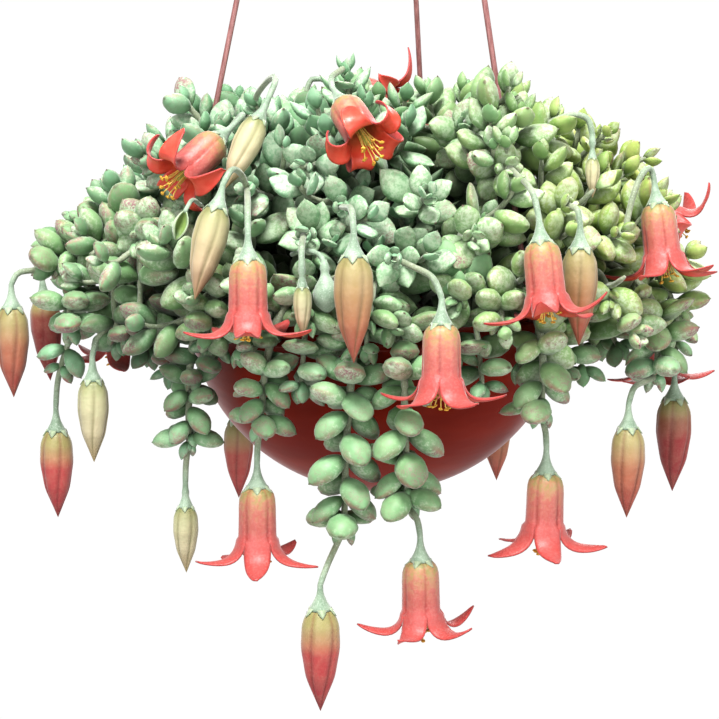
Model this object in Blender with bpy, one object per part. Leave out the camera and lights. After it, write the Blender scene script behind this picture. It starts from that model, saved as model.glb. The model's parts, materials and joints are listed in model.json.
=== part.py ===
"""Potted cotyledon: a trailing succulent with bell flowers, in a bowl that hangs on three strands.

Lengths are in millimetres until the meshes are made. X is right, Y away from the viewer and Z up.
The plant and the bowl are laid out from the centre of the bowl's rim; the finished object has its
origin where the hook hangs, so everything lies below it.
"""

import math
import random

import bmesh
import bpy
import numpy as np

# Bowl: half a ball with a flat foot and a raised band round its rim
BOWL_R = 80.0
BOWL_WALL = 2.2
BOWL_SIDES = 24
FOOT_R = 19.0
BAND_H = 10.0
BAND_OUT = 1.8
SOIL_TOP = -8.0
ROOT_BOTTOM = -23.0
FIT = 0.3
EDGE_H = 1.2
EDGE_IN = 1.0
TRUNK_FIT = 0.35

# Hanger: three strands from the lugs on the rim to a hub under the hook
STRAND_ANGLES = (194.0, 314.0, 74.0)
STRAND_R = 1.15
STRAND_SIDES = 6
BUTTON_R = 3.2
BUTTON_H = 2.6
LUG_AT = 85.5
LUG_R = 5.0
LUG_TOP = -1.0
LUG_BOTTOM = -5.0
LUG_NECK_R = 2.7
LUG_FIT = 0.5
HUB_ABOVE_RIM = 370.0
HUB_R = 9.0
HUB_H = 14.0
HOOK_WIRE_R = 2.6
HOOK_BEND_R = 15.0
HOOK_NECK = 14.0
STRAND_SPREAD = 5.2
SOCKET_DEPTH = 8.0
HOOK_START = -25
HOOK_END = 211
HOOK_TURN = 29
HOOK_CENTRE_Z = -(HOOK_BEND_R - HOOK_WIRE_R)
HUB_TOP_Z = HOOK_CENTRE_Z - HOOK_BEND_R - HOOK_NECK
RIM_Z = HUB_TOP_Z - HUB_H - HUB_ABOVE_RIM

# Stems and leaves
TRUNK_R = 2.1
STEM_R = 1.6
STALK_R = 1.15
STEM_STEP = 12.0
STALK_SIDES = 5
PARENT_REACH = 14.0
LINE_STEP = 2.0
STIFFNESS = 0.12
PUSH = 0.45
MOST_MOVE = 3.0
STEM_GAP = 1.8
BALL_GAP = 1.2
NEAR = 20.0
LEAF_WIDTH = 0.31
LEAF_THICK = 0.25
LEAF_GAP = 0.35
LEAF_SOCKET = 1.2
SAME_NODE = 0.95
PAIR_GAPS = (4.0, 5.5, 6.8, 7.6)
PAIR_SIZES = (0.55, 0.80, 0.95, 1.0)
PAIR_TILTS = (24.0, 42.0, 55.0, 62.0)
LEAF_RINGS = ((0.34, 0.96), (0.72, 0.90))
LEAF_SQUARE = (0.82, 0.80)
LEAF_TRIES = ((1.0, 0), (1.0, 24), (1.0, -24), (0.86, 0), (0.86, 30), (0.86, -30), (0.72, 0), (0.6, 0))

# Flowers and buds
CALYX_H = 10.0
CALYX_R = 5.4
WAIST_H = 4.0
WAIST_R = 2.1
TUBE_H = 19.0
TUBE_R = 6.9
MOUTH_R = 7.3
PETAL_WALL = 0.9
LOBE_LENGTH = 23.0
LOBE_HALF_WIDTH = 3.3
LOBE_THICK = 1.4
LOBE_START = 14.0
LOBE_SWEEP = 82.0
LOBES = 5
STAMEN_ROWS = ((4.7, 1.6, 1.6), (20.0, 1.5, 1.5), (27.5, 4.2, 2.0))
STAMEN_HOLLOW = 24.0
BUD_H = 37.0
BUD_R = 7.0
BUD_ROWS = ((0.0, 0.64, 1.0), (0.12, 0.94, 0.98), (0.36, 1.0, 0.93), (0.66, 0.74, 0.88))

# Leafy stems. Each node's first stem is its trunk, which rises from the soil; the others branch from
# it. A row gives the node, the points that the stem runs through, its pairs of leaves and leaf length.
SHOOTS = [
    ("stems_front", [(2, -44, -8), (0, -60, 16), (-4, -86, 14), (-9, -99, -8), (-12, -101, -42), (-13, -98, -76)],
     8, 16.5),
    ("stems_front", [(0, -84, 15), (8, -100, -4), (10, -103, -34), (11, -100, -66)], 7, 16.5),
    ("stems_front", [(-2, -78, 17), (-2, -98, 17), (-4, -112, 4)], 2, 13.0),
    ("stems_front_left", [(-18, -50, -8), (-22, -62, 14), (-32, -84, 13), (-41, -94, -8), (-45, -94, -38)],
     4, 14.0),
    ("stems_front_left", [(-26, -76, 15), (-27, -96, 18), (-27, -108, 4)], 2, 14.0),
    ("stems_front_left", [(-22, -64, 16), (-24, -84, 34), (-28, -100, 36)], 3, 14.0),
    ("stems_left_low", [(-40, -38, -8), (-48, -50, 14), (-62, -66, 13), (-72, -72, -8), (-75, -66, -50)],
     5, 13.0),
    ("stems_left_low", [(-58, -62, 15), (-62, -78, 14), (-66, -88, -4)], 2, 14.0),
    ("stems_left_arm", [(-52, -6, -8), (-62, -6, 18), (-90, -9, 27), (-118, -18, 25), (-136, -24, 16)],
     5, 16.0),
    ("stems_left_arm", [(-90, -9, 27), (-112, 2, 33), (-130, 8, 33)], 3, 14.5),
    ("stems_left_arm", [(-92, -10, 27), (-94, -36, 33), (-94, -54, 28)], 3, 15.0),
    ("stems_left_arm", [(-98, -12, 26), (-106, -42, 10), (-103, -54, -12)], 2, 14.0),
    ("stems_left_arm", [(-112, -22, 24), (-124, -34, 8), (-124, -40, -8)], 2, 16.0),
    ("stems_left_top", [(-38, 14, -8), (-44, 6, 30), (-62, -8, 62), (-80, -14, 84)], 3, 14.5),
    ("stems_left_top", [(-54, -2, 48), (-78, -18, 56), (-94, -32, 60)], 3, 13.5),
    ("stems_left_top", [(-50, 2, 40), (-66, -34, 46), (-76, -62, 44)], 2, 14.0),
    ("stems_top_left", [(-20, -16, -8), (-26, -20, 34), (-38, -26, 62), (-50, -30, 84)], 3, 14.5),
    ("stems_top_left", [(-32, -22, 50), (-50, -6, 70), (-62, 6, 86)], 3, 13.0),
    ("stems_top_left", [(-26, -20, 34), (-40, -50, 46), (-50, -80, 52)], 2, 14.0),
    ("stems_top_middle", [(-2, -14, -8), (-4, -20, 40), (-10, -34, 72), (-13, -42, 98)], 4, 14.0),
    ("stems_top_middle", [(-6, -24, 50), (-20, -50, 60), (-30, -78, 60)], 3, 13.5),
    ("stems_top_middle", [(-4, -20, 36), (-12, -60, 44), (-14, -92, 46)], 2, 14.0),
    ("stems_middle", [(20, -30, -8), (18, -46, 26), (16, -70, 42), (18, -94, 52)], 3, 13.5),
    ("stems_middle", [(18, -46, 26), (10, -76, 28), (6, -106, 28)], 3, 13.5),
    ("stems_middle", [(18, -52, 30), (32, -76, 34), (36, -100, 34)], 2, 14.5),
    ("stems_front_right", [(36, -42, -8), (44, -54, 14), (56, -74, 12), (62, -89, -6), (62, -89, -33)],
     5, 16.0),
    ("stems_front_right", [(44, -54, 14), (36, -84, 16), (28, -104, 10)], 2, 14.0),
    ("stems_front_right", [(50, -64, 14), (46, -90, 12), (47, -102, 0)], 2, 14.0),
    ("stems_top_right", [(22, 2, -8), (26, -4, 36), (32, -26, 62), (34, -50, 76)], 4, 15.0),
    ("stems_top_right", [(27, -8, 42), (46, -2, 66), (60, 0, 80)], 3, 14.5),
    ("stems_top_right", [(28, -14, 48), (42, -48, 54), (50, -78, 60)], 3, 15.0),
    ("stems_right_top", [(44, 14, -8), (56, 12, 28), (84, 4, 50), (112, 0, 60)], 3, 14.5),
    ("stems_right_top", [(62, 10, 34), (80, -14, 58), (92, -30, 72)], 3, 14.0),
    ("stems_right_middle", [(46, -20, -8), (54, -28, 22), (64, -54, 34), (72, -80, 46)], 3, 14.0),
    ("stems_right_middle", [(56, -34, 24), (80, -46, 28), (96, -62, 34)], 2, 14.0),
    ("stems_right_low", [(56, -4, -8), (66, -10, 16), (94, -22, 18), (112, -34, 2), (112, -40, -26)], 4, 16.0),
    ("stems_right_low", [(76, -14, 18), (88, -46, 16), (90, -68, 6)], 2, 15.5),
    ("stems_right_low", [(94, -22, 18), (114, -14, 14), (124, -10, -4)], 2, 15.5),
    ("stems_back_left", [(-26, 36, -8), (-32, 46, 18), (-50, 78, 14), (-60, 94, -10), (-62, 94, -50)], 5, 15.0),
    ("stems_back_left", [(-32, 46, 18), (-38, 50, 50), (-40, 44, 80)], 3, 14.5),
    ("stems_back_left", [(-34, 50, 18), (-74, 58, 30), (-96, 52, 32)], 2, 14.5),
    ("stems_back_left", [(-38, 58, 18), (-22, 88, 26), (-14, 108, 12)], 3, 14.5),
    ("stems_back_left", [(-60, 58, 26), (-88, 66, 8), (-94, 62, -20)], 2, 14.5),
    ("stems_back_right", [(28, 36, -8), (32, 48, 18), (44, 80, 14), (52, 98, -8), (54, 98, -40)], 4, 15.0),
    ("stems_back_right", [(32, 48, 20), (26, 56, 56), (24, 58, 86)], 3, 14.5),
    ("stems_back_right", [(34, 52, 20), (66, 58, 44), (80, 62, 52)], 2, 14.5),
    ("stems_back_right", [(36, 58, 18), (18, 88, 34), (14, 102, 40)], 2, 14.5),
    ("stems_back_right", [(48, 58, 30), (88, 54, 14), (100, 50, -10)], 3, 14.5),
]

# Open flowers: name, node of the stalk, the calyx's foot, the way the bell points, how far each lobe
# curls past level, in degrees, and whether the yellow stamens are a node
FLOWERS = [
    ("flower_top_left", "stems_left_top", (-62, -66, 70), (-0.62, -0.50, -0.60), 70, True),
    ("flower_top_middle", "stems_top_middle", (-14, -64, 84), (0.42, -0.66, -0.62), 110, True),
    ("flower_left", "stems_top_left", (-48, -112, 28), (0.0, -0.06, -1.0), 12, True),
    ("flower_centre_right", "stems_top_right", (60, -106, 34), (0.10, -0.16, -1.0), 14, True),
    ("flower_centre", "stems_middle", (23, -120, 5), (0.0, -0.08, -1.0), 10, True),
    ("flower_right", "stems_right_middle", (110, -48, 44), (0.12, -0.14, -1.0), 10, True),
    ("flower_low_left", "stems_front_left", (-46, -98, -60), (0.0, 0.0, -1.0), 0, True),
    ("flower_low_right", "stems_front_right", (64, -90, -56), (-0.02, 0.0, -1.0), 0, True),
    ("flower_low_front", "stems_front", (16, -104, -87), (0.02, 0.0, -1.0), 14, True),
    ("flower_far_right", "stems_right_top", (108, 16, 46), (0.70, 0.05, -0.60), 30, True),
    ("flower_side_right", "stems_right_low", (120, 20, -8), (0.04, 0.0, -1.0), 8, True),
    ("flower_side_left", "stems_left_arm", (-112, 22, 0), (-0.06, 0.0, -1.0), 6, False),
    ("flower_back_right", "stems_right_top", (76, 36, 58), (0.30, 0.60, -0.70), 30, False),
    ("flower_back_top", "stems_back_left", (-4, 34, 78), (0.70, 0.45, -0.45), 40, False),
    ("flower_back_low", "stems_back_left", (-34, 112, -22), (0.0, 0.0, -1.0), 8, False),
    ("flower_back_middle", "stems_back_right", (34, 114, 14), (0.0, 0.06, -1.0), 10, False),
]

# Buds: name, node of the stalk, the calyx's foot, the way it points, its size, and whether it is ripe
# enough to have coloured, which makes it a node of its own
BUDS = [
    ("bud_far_left", "stems_left_arm", (-150, -27, 0), (0.0, 0.0, -1.0), 1.0, True),
    ("bud_left_behind", "stems_left_arm", (-142, 6, 0), (0.06, 0.0, -1.0), 0.95, True),
    ("bud_left_low", "stems_left_arm", (-132, -32, -50), (0.0, 0.0, -1.0), 0.98, True),
    ("bud_top_left", "stems_top_left", (-46, -74, 78), (-0.42, -0.22, -0.88), 0.8, True),
    ("bud_left_middle", "stems_top_left", (-60, -100, 46), (-0.24, -0.1, -0.96), 0.95, True),
    ("bud_centre", "stems_top_middle", (-9, -122, 30), (0.0, -0.03, -1.0), 1.05, True),
    ("bud_right_middle", "stems_right_middle", (76, -88, 30), (0.0, -0.03, -1.0), 1.0, True),
    ("bud_right_low", "stems_right_low", (99, -58, -44), (0.0, 0.0, -1.0), 0.98, True),
    ("bud_far_right", "stems_right_low", (122, -22, -38), (0.0, 0.0, -1.0), 1.05, True),
    ("bud_low_front", "stems_front", (-22, -104, -106), (0.0, 0.0, -1.0), 1.08, True),
    ("bud_back_left", "stems_back_left", (-66, 98, -68), (0.0, 0.0, -1.0), 1.0, True),
    ("bud_back_right", "stems_back_right", (56, 102, -62), (0.0, 0.0, -1.0), 0.95, True),
    ("bud_green_left", "stems_left_arm", (-114, -52, -26), (0.0, 0.0, -1.0), 0.9, False),
    ("bud_green_low", "stems_left_low", (-76, -68, -74), (0.0, 0.0, -1.0), 0.72, False),
    ("bud_green_middle", "stems_front_left", (-28, -114, 18), (0.02, 0.0, -1.0), 0.5, False),
    ("bud_green_right", "stems_top_right", (84, -50, 62), (0.0, -0.2, -1.0), 0.42, False),
]

COLOURS = {
    "bowl": ((0.24, 0.025, 0.012), 0.22),
    "soil": ((0.055, 0.035, 0.022), 0.95),
    "hanger": ((0.24, 0.11, 0.10), 0.45),
    "leaf": ((0.30, 0.46, 0.27), 0.60),
    "petal": ((0.80, 0.12, 0.08), 0.50),
    "bud": ((0.74, 0.30, 0.16), 0.50),
    "stamen": ((0.80, 0.52, 0.06), 0.60),
}


class Run:
    """One stem or flower stalk: the points of its centre line and what grows on it."""

    def __init__(self, node, points, radii, pairs=0, leaf=0.0, parent=None, fixed_ends=(0, 0)):
        self.node = node
        self.points = points
        self.radii = radii
        self.pairs = pairs
        self.leaf = leaf
        self.parent = parent
        self.fixed_ends = fixed_ends
        self.line = None


def unit(vector):
    """The vector at length one."""
    vector = np.asarray(vector, float)
    return vector / np.linalg.norm(vector)


def smooth(points, step):
    """Points about step apart along a smooth curve through the given points."""
    inner = np.array(points, float)
    ends = np.vstack([2 * inner[0] - inner[1], inner, 2 * inner[-1] - inner[-2]])
    curve = []
    for a, b, c, d in zip(ends, ends[1:], ends[2:], ends[3:]):
        for t in np.linspace(0, 1, 16, endpoint=False):
            curve.append(0.5 * (2 * b + (c - a) * t + (2 * a - 5 * b + 4 * c - d) * t * t
                                + (3 * b - a - 3 * c + d) * t ** 3))
    curve = np.array(curve + [inner[-1]])
    run = np.concatenate([[0.0], np.cumsum(np.linalg.norm(np.diff(curve, axis=0), axis=1))])
    at = np.linspace(0.0, run[-1], max(2, round(run[-1] / step)) + 1)
    return np.column_stack([np.interp(at, run, curve[:, k]) for k in range(3)])


class Line:
    """A smooth centre line with a frame at every place along it that doesn't twist."""

    def __init__(self, points):
        self.points = smooth(points, LINE_STEP)
        steps = np.linalg.norm(np.diff(self.points, axis=0), axis=1)
        self.lengths = np.concatenate([[0.0], np.cumsum(steps)])
        slopes = np.gradient(self.points, axis=0)
        self.tangents = slopes / np.linalg.norm(slopes, axis=1)[:, None]
        hint = (0.0, 1.0, 0.0) if abs(self.tangents[0][1]) < 0.9 else (1.0, 0.0, 0.0)
        normal = np.cross(self.tangents[0], hint)
        normals = []
        for tangent in self.tangents:
            normal = unit(normal - tangent * np.dot(normal, tangent))
            normals.append(normal)
        self.normals = np.array(normals)
        self.others = np.cross(self.tangents, self.normals)
        nearest = [int(np.argmin(np.linalg.norm(self.points - point, axis=1))) for point in points]
        self.knots = self.lengths[nearest]

    def at(self, length):
        """The point, tangent and two normals at a length along the line."""
        near = int(np.argmin(abs(self.lengths - length)))
        point = np.array([np.interp(length, self.lengths, self.points[:, k]) for k in range(3)])
        return point, self.tangents[near], self.normals[near], self.others[near]


def flower_axes(axis):
    """The bell's unit axis and two directions across it."""
    axis = unit(axis)
    across = unit(np.cross(axis, (0.0, 1.0, 0.2)))
    return axis, across, np.cross(axis, across)


def lobe_line(curl, count):
    """A lobe's centre line as rows of radius, distance along the bell's axis and heading in radians."""
    fine = 40
    radius = MOUTH_R - PETAL_WALL / 2
    along = TUBE_H
    rows = [(radius, along, math.radians(LOBE_START))]
    for k in range(fine):
        heading = math.radians(LOBE_START + (LOBE_SWEEP + curl) * ((k + 0.5) / fine) ** 0.9)
        radius += math.sin(heading) * LOBE_LENGTH / fine
        along += math.cos(heading) * LOBE_LENGTH / fine
        rows.append((radius, along, heading))
    return [rows[round(k * fine / count)] for k in range(count + 1)]


def lobe_width(t):
    """A lobe's half width at t, from 0 at the tube's mouth to 1 at the tip."""
    return LOBE_HALF_WIDTH * (1.0 - t ** 3.2) ** 0.8


def lobe_curls(flower):
    """The curl of each of the flower's lobes, in degrees."""
    draw = random.Random(flower[0])
    return [flower[4] + draw.uniform(-12.0, 22.0) for _ in range(LOBES)]


def flower_spin(flower):
    """The angle by which the bell is turned about its axis."""
    return random.Random(flower[0] + " spin").uniform(0.0, 2 * math.pi / LOBES)


def flower_balls(flower):
    """Balls that cover an open flower and its calyx."""
    axis, across, other = flower_axes(flower[3])
    foot = np.array(flower[2], float)
    balls = [(foot + axis * d, r) for d, r in ((4.0, 6.6), (11.0, 7.4), (17.0, 7.8), (25.0, 4.5))]
    for k, curl in enumerate(lobe_curls(flower)):
        angle = flower_spin(flower) + 2 * math.pi * (k + 0.5) / LOBES
        out = across * math.cos(angle) + other * math.sin(angle)
        for n, (radius, along, _) in enumerate(lobe_line(curl, 5)[1:]):
            balls.append((foot + axis * along + out * radius, 3.6 if n < 4 else 1.5))
    return balls


def bud_balls(bud):
    """Balls that cover a bud."""
    foot = np.array(bud[2], float)
    axis = unit(bud[3])
    spots = ((4.0, 6.2), (10.0, 7.0), (17.0, 6.6), (24.0, 5.0), (30.0, 3.2), (35.0, 1.6))
    return [(foot + axis * d * bud[4], r * bud[4]) for d, r in spots]


def strand_line(angle):
    """A strand's centre line, from under its lug, through the hole and straight up to the hub."""
    out = np.array([math.cos(math.radians(angle)), math.sin(math.radians(angle)), 0.0])
    up = np.array([0.0, 0.0, 1.0])
    top = out * STRAND_SPREAD + up * (HUB_ABOVE_RIM + SOCKET_DEPTH)
    bend = out * LUG_AT + up * 3.0
    start = bend + unit(top - bend) * 8.0
    return np.array([out * LUG_AT + up * (LUG_BOTTOM - FIT), bend, start, (start + top) / 2, top])


def hanger_balls():
    """Balls along the strands and over the lugs, as far up as the plant reaches."""
    balls = []
    for angle in STRAND_ANGLES:
        line = strand_line(angle)
        way = unit(line[-1] - line[1])
        balls += [(line[1] + way * d, STRAND_R + 0.3) for d in np.arange(0.0, 150.0, 2.0)]
        balls.append((line[0] + np.array([0.0, 0.0, 1.5]), LUG_R + 1.5))
    return balls


def bowl_distance(points):
    """How far points lie outside the bowl, taken as half a ball that is full to its rim."""
    reach = np.linalg.norm(points, axis=1) - (BOWL_R + BAND_OUT + 0.7)
    return np.maximum(reach, points[:, 2] - 0.5)


def bowl_outward(points):
    """The unit directions that lead away from the bowl."""
    outward = points / np.linalg.norm(points, axis=1)[:, None]
    reach = np.linalg.norm(points, axis=1) - (BOWL_R + BAND_OUT + 0.7)
    above = points[:, 2] - 0.5 > reach
    outward[above] = (0.0, 0.0, 1.0)
    return outward


def nearest_on(runs, node, point):
    """The run and the place on it, among one node's leafy stems, that lie nearest to a point."""
    best = None
    for number, run in enumerate(runs):
        if run.node != node or not run.pairs:
            continue
        gaps = np.linalg.norm(run.points - np.asarray(point, float), axis=1)
        gaps[:3 if run.parent is None else 1] = 1e6
        place = int(np.argmin(gaps))
        if best is None or gaps[place] < best[0]:
            best = (gaps[place], number, place)
    return best[1], best[2]


def arch(start, neck, axis):
    """A stalk's points, from the stem in one easy bend to the neck of a calyx that hangs along axis."""
    reach = np.linalg.norm(neck - start)
    rise = max(neck[2] - start[2] + 6.0, 0.0)
    first = start + (neck - start) * 0.25 + np.array([0.0, 0.0, 0.6 * rise])
    second = neck - axis * max(7.0, 0.4 * reach)
    steps = np.linspace(0.0, 1.0, max(3, round((reach + rise) / 9.0)) + 1)[:, None]
    return (start * (1 - steps) ** 3 + first * 3 * steps * (1 - steps) ** 2
            + second * 3 * steps ** 2 * (1 - steps) + neck * steps ** 3)


def make_runs():
    """All stems and stalks, before they are bent clear of each other."""
    runs = []
    started = set()
    for node, points, pairs, leaf in SHOOTS:
        if node in started:
            parent = nearest_on(runs, node, points[0])
            start = runs[parent[0]].points[parent[1]]
            line = smooth([start] + points[1:], STEM_STEP)
            radii = np.linspace(STEM_R, 0.75 * STEM_R, len(line))
            runs.append(Run(node, line, radii, pairs, leaf, parent, (1, 0)))
        else:
            started.add(node)
            x, y, _ = points[0]
            root = np.array([(x, y, ROOT_BOTTOM), (x, y, SOIL_TOP - 1.0)])
            line = np.vstack([root, smooth([(x, y, 3.0)] + points[1:], STEM_STEP)])
            radii = np.linspace(TRUNK_R, 0.6 * TRUNK_R, len(line))
            radii[:3] = TRUNK_R
            runs.append(Run(node, line, radii, pairs, leaf, None, (3, 0)))
    leafy = len(runs)
    for row in FLOWERS + BUDS:
        foot = np.array(row[2], float)
        axis = unit(row[3])
        neck = foot - axis * CALYX_H
        parent = nearest_on(runs[:leafy], row[1], neck - axis * PARENT_REACH)
        start = runs[parent[0]].points[parent[1]]
        line = np.vstack([arch(start, neck, axis), foot - axis * WAIST_H, foot])
        radii = np.full(len(line), STALK_R)
        size = row[4] if row in BUDS else 1.0
        radii[-2:] = (WAIST_R * size, CALYX_R * size)
        runs.append(Run(row[1], line, radii, parent=parent, fixed_ends=(1, 3)))
    return runs


def obstacles():
    """Balls of the flowers, buds and hanger, each with the number of the stalk that ends in it."""
    centres, radii, owners = [], [], []
    for number, row in enumerate(FLOWERS + BUDS):
        balls = flower_balls(row) if row in FLOWERS else bud_balls(row)
        centres += [centre for centre, _ in balls]
        radii += [radius for _, radius in balls]
        owners += [len(SHOOTS) + number] * len(balls)
    for centre, radius in hanger_balls():
        centres.append(centre)
        radii.append(radius)
        owners.append(-1)
    return np.array(centres), np.array(radii), np.array(owners)


def neighbours(a, b, allowed):
    """The allowed pairs of points a and b that may come close in the next few turns."""
    squares = (a ** 2).sum(1)[:, None] + (b ** 2).sum(1)[None] - 2 * a @ b.T
    return np.nonzero(allowed & (squares < NEAR ** 2))


def push_apart(a, b, pairs, need):
    """The moves that take points a away from points b wherever they are closer than needed."""
    first, second = pairs
    away = a[first] - b[second]
    gaps = np.maximum(np.linalg.norm(away, axis=1), 1e-6)
    move = np.zeros_like(a)
    np.add.at(move, first, away / gaps[:, None] * np.maximum(need[first, second] - gaps, 0.0)[:, None])
    return move


def curvature(points, firsts, counts):
    """How far the middle of each three points lies from its neighbours' middle, doubled."""
    bend = np.zeros_like(points)
    for first, count in zip(firsts, counts):
        line = points[first:first + count]
        bend[first + 1:first + count - 1] = line[:-2] + line[2:] - 2 * line[1:-1]
    return bend


def bend_clear(runs, turns=80, refresh=8):
    """Moves the stems' free points until stems of different nodes, flowers, strands and bowl are clear."""
    counts = [len(run.points) for run in runs]
    firsts = np.concatenate([[0], np.cumsum(counts)[:-1]])
    points = np.vstack([run.points for run in runs])
    free = np.ones(len(points), bool)
    rows = []
    for first, run in zip(firsts, runs):
        free[first:first + run.fixed_ends[0]] = False
        if run.fixed_ends[1]:
            free[first + len(run.points) - run.fixed_ends[1]:first + len(run.points)] = False
        for k in range(len(run.points) - 1):
            rows += [(first + k, first + k + 1, t) for t in (0.0, 0.33, 0.67)]
        rows.append((first + len(run.points) - 2, first + len(run.points) - 1, 1.0))
    low = np.array([row[0] for row in rows])
    high = np.array([row[1] for row in rows])
    part = np.array([row[2] for row in rows])[:, None]
    owner = np.searchsorted(firsts, low, side="right") - 1
    names = sorted({run.node for run in runs})
    group = np.array([names.index(run.node) for run in runs])[owner]
    radii = np.concatenate([run.radii for run in runs])
    thick = radii[low] * (1 - part[:, 0]) + radii[high] * part[:, 0]
    centres, ball_radii, owners = obstacles()
    apart = group[:, None] != group[None]
    ends = firsts + np.array(counts) - np.array([run.fixed_ends[1] for run in runs]) - 1
    not_own = (owner[:, None] != owners[None]) | (low < ends[owner])[:, None]
    drawn = curvature(points, firsts, counts)
    stem_need = thick[:, None] + thick[None] + STEM_GAP
    ball_need = thick[:, None] + ball_radii[None] + BALL_GAP
    for number in range(turns):
        spots = points[low] * (1 - part) + points[high] * part
        if number % refresh == 0:
            stem_pairs = neighbours(spots, spots, apart)
            ball_pairs = neighbours(spots, centres, not_own)
        move = 0.5 * push_apart(spots, spots, stem_pairs, stem_need)
        move += push_apart(spots, centres, ball_pairs, ball_need)
        sunk = np.maximum(thick + BALL_GAP - bowl_distance(spots), 0.0)
        sunk[(spots[:, 2] < 1.5) & (np.hypot(spots[:, 0], spots[:, 1]) < BOWL_R - 12.0)] = 0.0
        move += bowl_outward(spots) * sunk[:, None]
        shift = np.zeros_like(points)
        np.add.at(shift, low, move * (1 - part))
        np.add.at(shift, high, move * part)
        bend = STIFFNESS * (curvature(points, firsts, counts) - drawn)
        points[free] += np.clip(PUSH * shift + bend, -MOST_MOVE, MOST_MOVE)[free]
        for first, run in zip(firsts, runs):
            if run.parent:
                points[first] = points[firsts[run.parent[0]] + run.parent[1]]
    for first, run in zip(firsts, runs):
        run.points = points[first:first + len(run.points)].copy()
        run.line = Line(run.points)


class Crowd:
    """The balls that a new leaf must keep clear of, with the node that each belongs to."""

    def __init__(self, runs, names):
        centres, radii, _ = obstacles()
        self.centres, self.radii = [centres], [radii]
        self.groups = [np.full(len(centres), -1)]
        for run in runs:
            thick = np.interp(run.line.lengths, run.line.knots, run.radii)
            self.add(run.line.points, thick, names.index(run.node))
        self.leaves_from = sum(len(centres) for centres in self.centres)

    def clear(self, centres, radii, group):
        """Whether balls of one node keep the gap to every other node and to the bowl."""
        if np.any(bowl_distance(centres) < radii * 0.9 + LEAF_GAP):
            return False
        groups = np.concatenate(self.groups)
        need = np.concatenate(self.radii)[None] + radii[:, None] + LEAF_GAP
        need[:, groups == group] *= SAME_NODE
        own_stems = (groups == group) & (np.arange(len(groups)) < self.leaves_from)
        need[:, own_stems] = 0.0
        gaps = np.linalg.norm(np.vstack(self.centres)[None] - centres[:, None], axis=2)
        return bool(np.all(gaps >= need))

    def add(self, centres, radii, group):
        """Adds the balls of a leaf or stem that has its place."""
        self.centres.append(centres)
        self.radii.append(radii)
        self.groups.append(np.full(len(radii), group))


def leaf_balls(leaf):
    """Three balls that cover a leaf."""
    base, way, _, length = leaf
    width = length * LEAF_WIDTH
    centres = np.array([base + way * length * t for t in (0.32, 0.54, 0.76)])
    return centres, width * np.array([0.92, 1.0, 0.82])


def leaves_of(run, number, crowd, group):
    """The run's opposite pairs from its tip back: each pair's place, its turn and its clear leaves."""
    draw = random.Random(1000 + number)
    turn = draw.uniform(0.0, math.pi)
    at = run.line.lengths[-1] - 2.0
    rows = []
    for pair in range(run.pairs):
        step = min(pair, len(PAIR_GAPS) - 1)
        if at < 8.0:
            break
        spot, tangent, normal, other = run.line.at(at)
        row = [at, turn, None, None]
        for half in (0, 1):
            size = run.leaf * PAIR_SIZES[step] * draw.uniform(0.93, 1.07)
            tilt = math.radians(PAIR_TILTS[step] + draw.uniform(-5.0, 5.0))
            for scale, swing in LEAF_TRIES:
                angle = turn + (pair + 2 * half) * math.pi / 2 + math.radians(swing)
                out = normal * math.cos(angle) + other * math.sin(angle)
                way = unit(tangent * math.cos(tilt) + out * math.sin(tilt))
                leaf = (spot + out * 0.6, way, unit(np.cross(tangent, way)), size * scale)
                centres, radii = leaf_balls(leaf)
                if crowd.clear(centres, radii, group):
                    row[2 + half] = leaf
                    break
        for leaf in row[2:]:
            if leaf:
                crowd.add(*leaf_balls(leaf), group)
        rows.append(row)
        at -= PAIR_GAPS[step] * run.leaf / 15.0
        turn += draw.uniform(-0.2, 0.2)
    return rows


def lay_out():
    """The stems and stalks, bent clear, and each leafy stem's pairs of leaves."""
    runs = make_runs()
    bend_clear(runs)
    names = sorted({run.node for run in runs})
    crowd = Crowd(runs, names)
    pairs = []
    for number, run in enumerate(runs):
        pairs.append(leaves_of(run, number, crowd, names.index(run.node)) if run.pairs else [])
    return runs, pairs


def mesh_object(name, points, faces, smooth_shade=True):
    """An object from points in millimetres from the rim's centre."""
    mesh = bpy.data.meshes.new(name)
    metres = (np.array(points, float) + np.array([0.0, 0.0, RIM_Z])) / 1000.0
    mesh.from_pydata([tuple(p) for p in metres], [], faces)
    if smooth_shade:
        mesh.shade_smooth()
    thing = bpy.data.objects.new(name, mesh)
    bpy.context.scene.collection.objects.link(thing)
    return thing


def tube(name, line, radii, sides):
    """A closed tube round a line of points, with a radius at each."""
    line = np.asarray(line, float)
    steps = np.gradient(line, axis=0)
    normal = np.cross(steps[0], (0.0, 1.0, 0.0) if abs(unit(steps[0])[1]) < 0.9 else (1.0, 0.0, 0.0))
    points, faces = [], []
    for centre, radius, step in zip(line, radii, steps):
        tangent = unit(step)
        normal = unit(normal - tangent * np.dot(normal, tangent))
        other = np.cross(tangent, normal)
        for k in range(sides):
            angle = 2 * math.pi * (k + 0.5) / sides
            points.append(centre + radius * (normal * math.cos(angle) + other * math.sin(angle)))
    for ring in range(len(line) - 1):
        for k in range(sides):
            a, b = ring * sides + k, ring * sides + (k + 1) % sides
            faces.append((a, b, b + sides, a + sides))
    last = (len(line) - 1) * sides
    faces.append(tuple(range(sides))[::-1])
    faces.append(tuple(range(last, last + sides)))
    return mesh_object(name, points, faces)


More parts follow.
